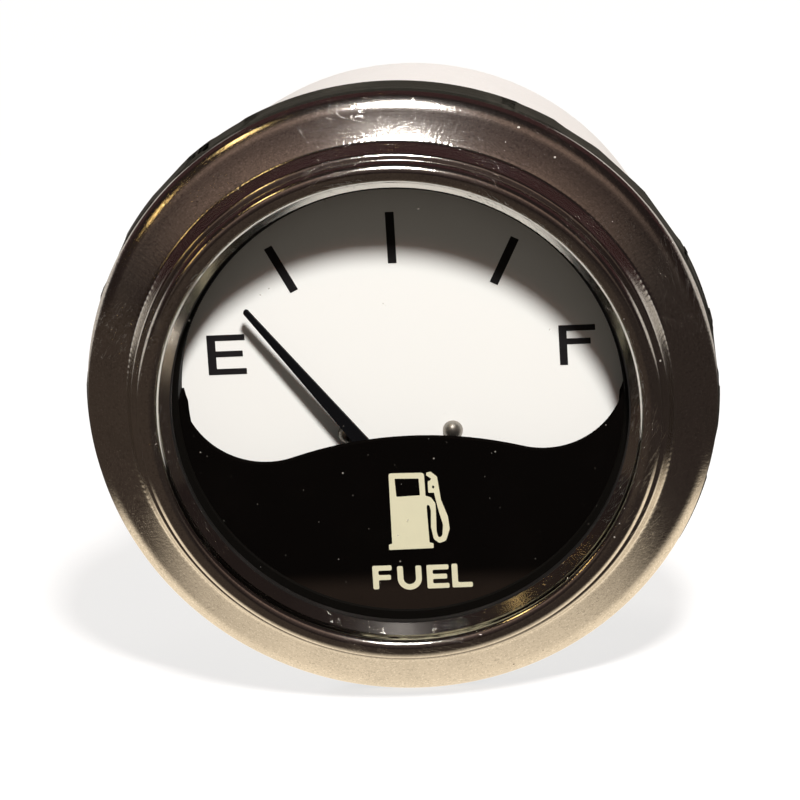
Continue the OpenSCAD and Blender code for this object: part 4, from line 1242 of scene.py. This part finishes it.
def light_room(fill):
    """World: white behind the gauge, dim even light on it, and a dark room in the bright metal."""
    world = bpy.data.worlds.new("studio room")
    bpy.context.scene.world = world
    world.cycles.sampling_method = "NONE"
    f = Finish(world, "ShaderNodeOutputWorld")
    where = f.node("ShaderNodeTexCoord").outputs["Generated"]
    # Direction of the ray: y is minus one straight ahead of the gauge, and z is one overhead
    y, z = f.split(where)[1:]
    above = z.over(0.0, 0.65)
    behind = y.over(0.0, 0.3)
    low_behind = behind * z.over(0.18, 0.05)
    around = f.blend(above, (0.045, 0.036, 0.031), (0.22, 0.15, 0.12))
    onlooker = f.blend(above, (0.015, 0.011, 0.01), (0.08, 0.055, 0.048))
    shade = f.blend(y.over(-0.6, -0.8), around, onlooker)
    shade = f.blend(y.over(-0.58, -0.42), shade, (0.02, 0.014, 0.013))
    shade = f.blend(behind, shade, (0.05, 0.025, 0.025))
    shade = f.blend(low_behind, shade, (0.7, 0.65, 0.6))
    even = f.backdrop((1.0, 0.93, 0.87), fill)
    lit = f.mix(f.rays("Is Glossy Ray"), even, f.backdrop(shade, 1.0))
    white = f.backdrop((1.0, 1.0, 1.0), 1.0)
    f.surface(f.mix(f.rays("Is Camera Ray", "Is Transmission Ray"), lit, white))


# Lamps besides the key: name, place in metres, diameter, power, colour and what they light
SIDE_LAMPS = (
    ("high window", Vector((-0.617, -0.26, 0.743)) * 0.9, 0.1, 0.22, (1.0, 0.7, 0.28), "gloss"),
    ("low window", Vector((-0.85, -0.36, 0.39)) * 0.9, 0.06, 0.08, (1.0, 0.66, 0.24), "gloss"),
    ("back left lamp", Vector((-0.45, 0.5, 0.35)), 0.3, 3.0, (1.0, 0.95, 0.9), "matt"),
    ("back right lamp", Vector((0.45, 0.45, 0.15)), 0.3, 2.2, (1.0, 0.93, 0.86), "matt"),
)


def place_lamps(settings):
    """The key lamp with its wider warm edge, its own glint in the metal, and the side lamps."""
    reach = settings.key_distance
    key = Vector((0.163, -0.603, 0.781)).normalized() * reach
    glint = Vector((-0.01, -0.59, 0.81)) * reach
    power = settings.key_power
    white_power = power * (1 - settings.warm_share)
    warm_power = power * settings.warm_share
    warm_size = settings.key_size * 2.0
    area_lamp("key lamp", key, settings.key_size, white_power, (0.99, 1.0, 1.0), "matt")
    area_lamp("warm lamp", key * 1.02, warm_size, warm_power, (1.0, 0.35, 0.25), "matt")
    area_lamp("glint lamp", glint, 0.11, power * 0.25, (1.0, 0.96, 0.94), "gloss")
    for lamp in SIDE_LAMPS:
        area_lamp(*lamp)


def place_camera(settings):
    """The camera, turned and tilted about the middle of the gauge's front."""
    el = settings.elevation
    az = settings.azimuth
    target = Vector((-0.21, -3.2, -0.51)) * MM
    back = Vector((math.sin(az) * math.cos(el), -math.cos(az) * math.cos(el), math.sin(el)))
    data = bpy.data.cameras.new("gauge camera")
    data.lens = settings.lens
    data.sensor_width = 36.0
    data.clip_start = 0.01
    camera = bpy.data.objects.new("gauge camera", data)
    bpy.context.scene.collection.objects.link(camera)
    camera.location = target + back * settings.camera_distance
    turn = (-back).to_track_quat("-Z", "Y").to_matrix().to_4x4()
    lean = Matrix.Rotation(settings.roll, 4, "Z")
    camera.matrix_world = Matrix.Translation(camera.location) @ turn @ lean
    bpy.context.scene.camera = camera


class GAUGE_OT_stage(bpy.types.Operator):
    """Set the floor, the lamps, the room and the camera"""

    bl_idname = "gauge.stage"
    bl_label = "Stage"

    def execute(self, context):
        settings = context.scene.gauge_stage
        context.scene.view_settings.view_transform = "Standard"
        bpy.ops.object.select_all(action="DESELECT")
        bpy.ops.mesh.primitive_plane_add(size=8.0, location=(0.0, 0.0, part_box("panel_gasket")[0].z))
        floor = context.object
        floor.name = "studio_floor"
        floor.data.materials.append(floor_finish())
        light_room(settings.fill)
        place_lamps(settings)
        place_camera(settings)
        return {"FINISHED"}


class GAUGE_PT_dressing(bpy.types.Panel):
    """The dressing's steps and sizes"""

    bl_idname = "GAUGE_PT_dressing"
    bl_label = "Fuel gauge"
    bl_space_type = "VIEW_3D"
    bl_region_type = "UI"
    bl_category = "Gauge"

    def draw(self, context):
        for step in OPERATORS:
            self.layout.operator(step.bl_idname)
        for name, group in GROUPS.items():
            box = self.layout.box()
            box.label(text=group.__doc__)
            for prop in group.__annotations__:
                box.prop(getattr(context.scene, name), prop)


GROUPS = {
    "gauge_bezel": BezelSizes,
    "gauge_dial_marks": DialMarkSizes,
    "gauge_mask_marks": MaskMarkSizes,
    "gauge_gasket": GasketSizes,
    "gauge_threads": ThreadSizes,
    "gauge_finishes": FinishColours,
    "gauge_stage": StageSettings,
}
OPERATORS = (
    GAUGE_OT_finishes,
    GAUGE_OT_bezel,
    GAUGE_OT_spacer,
    GAUGE_OT_dial_marks,
    GAUGE_OT_mask_marks,
    GAUGE_OT_panel_gasket,
    GAUGE_OT_studs,
    GAUGE_OT_nuts,
    GAUGE_OT_stage,
)


def register():
    """Registers the classes and puts their settings on the scene."""
    for cls in (*GROUPS.values(), *OPERATORS, GAUGE_PT_dressing):
        bpy.utils.register_class(cls)
    for name, group in GROUPS.items():
        setattr(bpy.types.Scene, name, PointerProperty(type=group))


def unregister():
    """Takes the settings off the scene and unregisters the classes."""
    for name in GROUPS:
        delattr(bpy.types.Scene, name)
    for cls in (GAUGE_PT_dressing, *reversed(OPERATORS), *reversed(GROUPS.values())):
        bpy.utils.unregister_class(cls)


def main():
    """Runs every step in order."""
    register()
    for step in OPERATORS:
        group, name = step.bl_idname.split(".")
        result = getattr(getattr(bpy.ops, group), name)()
        if result != {"FINISHED"}:
            raise RuntimeError(f"{step.bl_label} didn't finish")


if __name__ == "__main__":
    main()
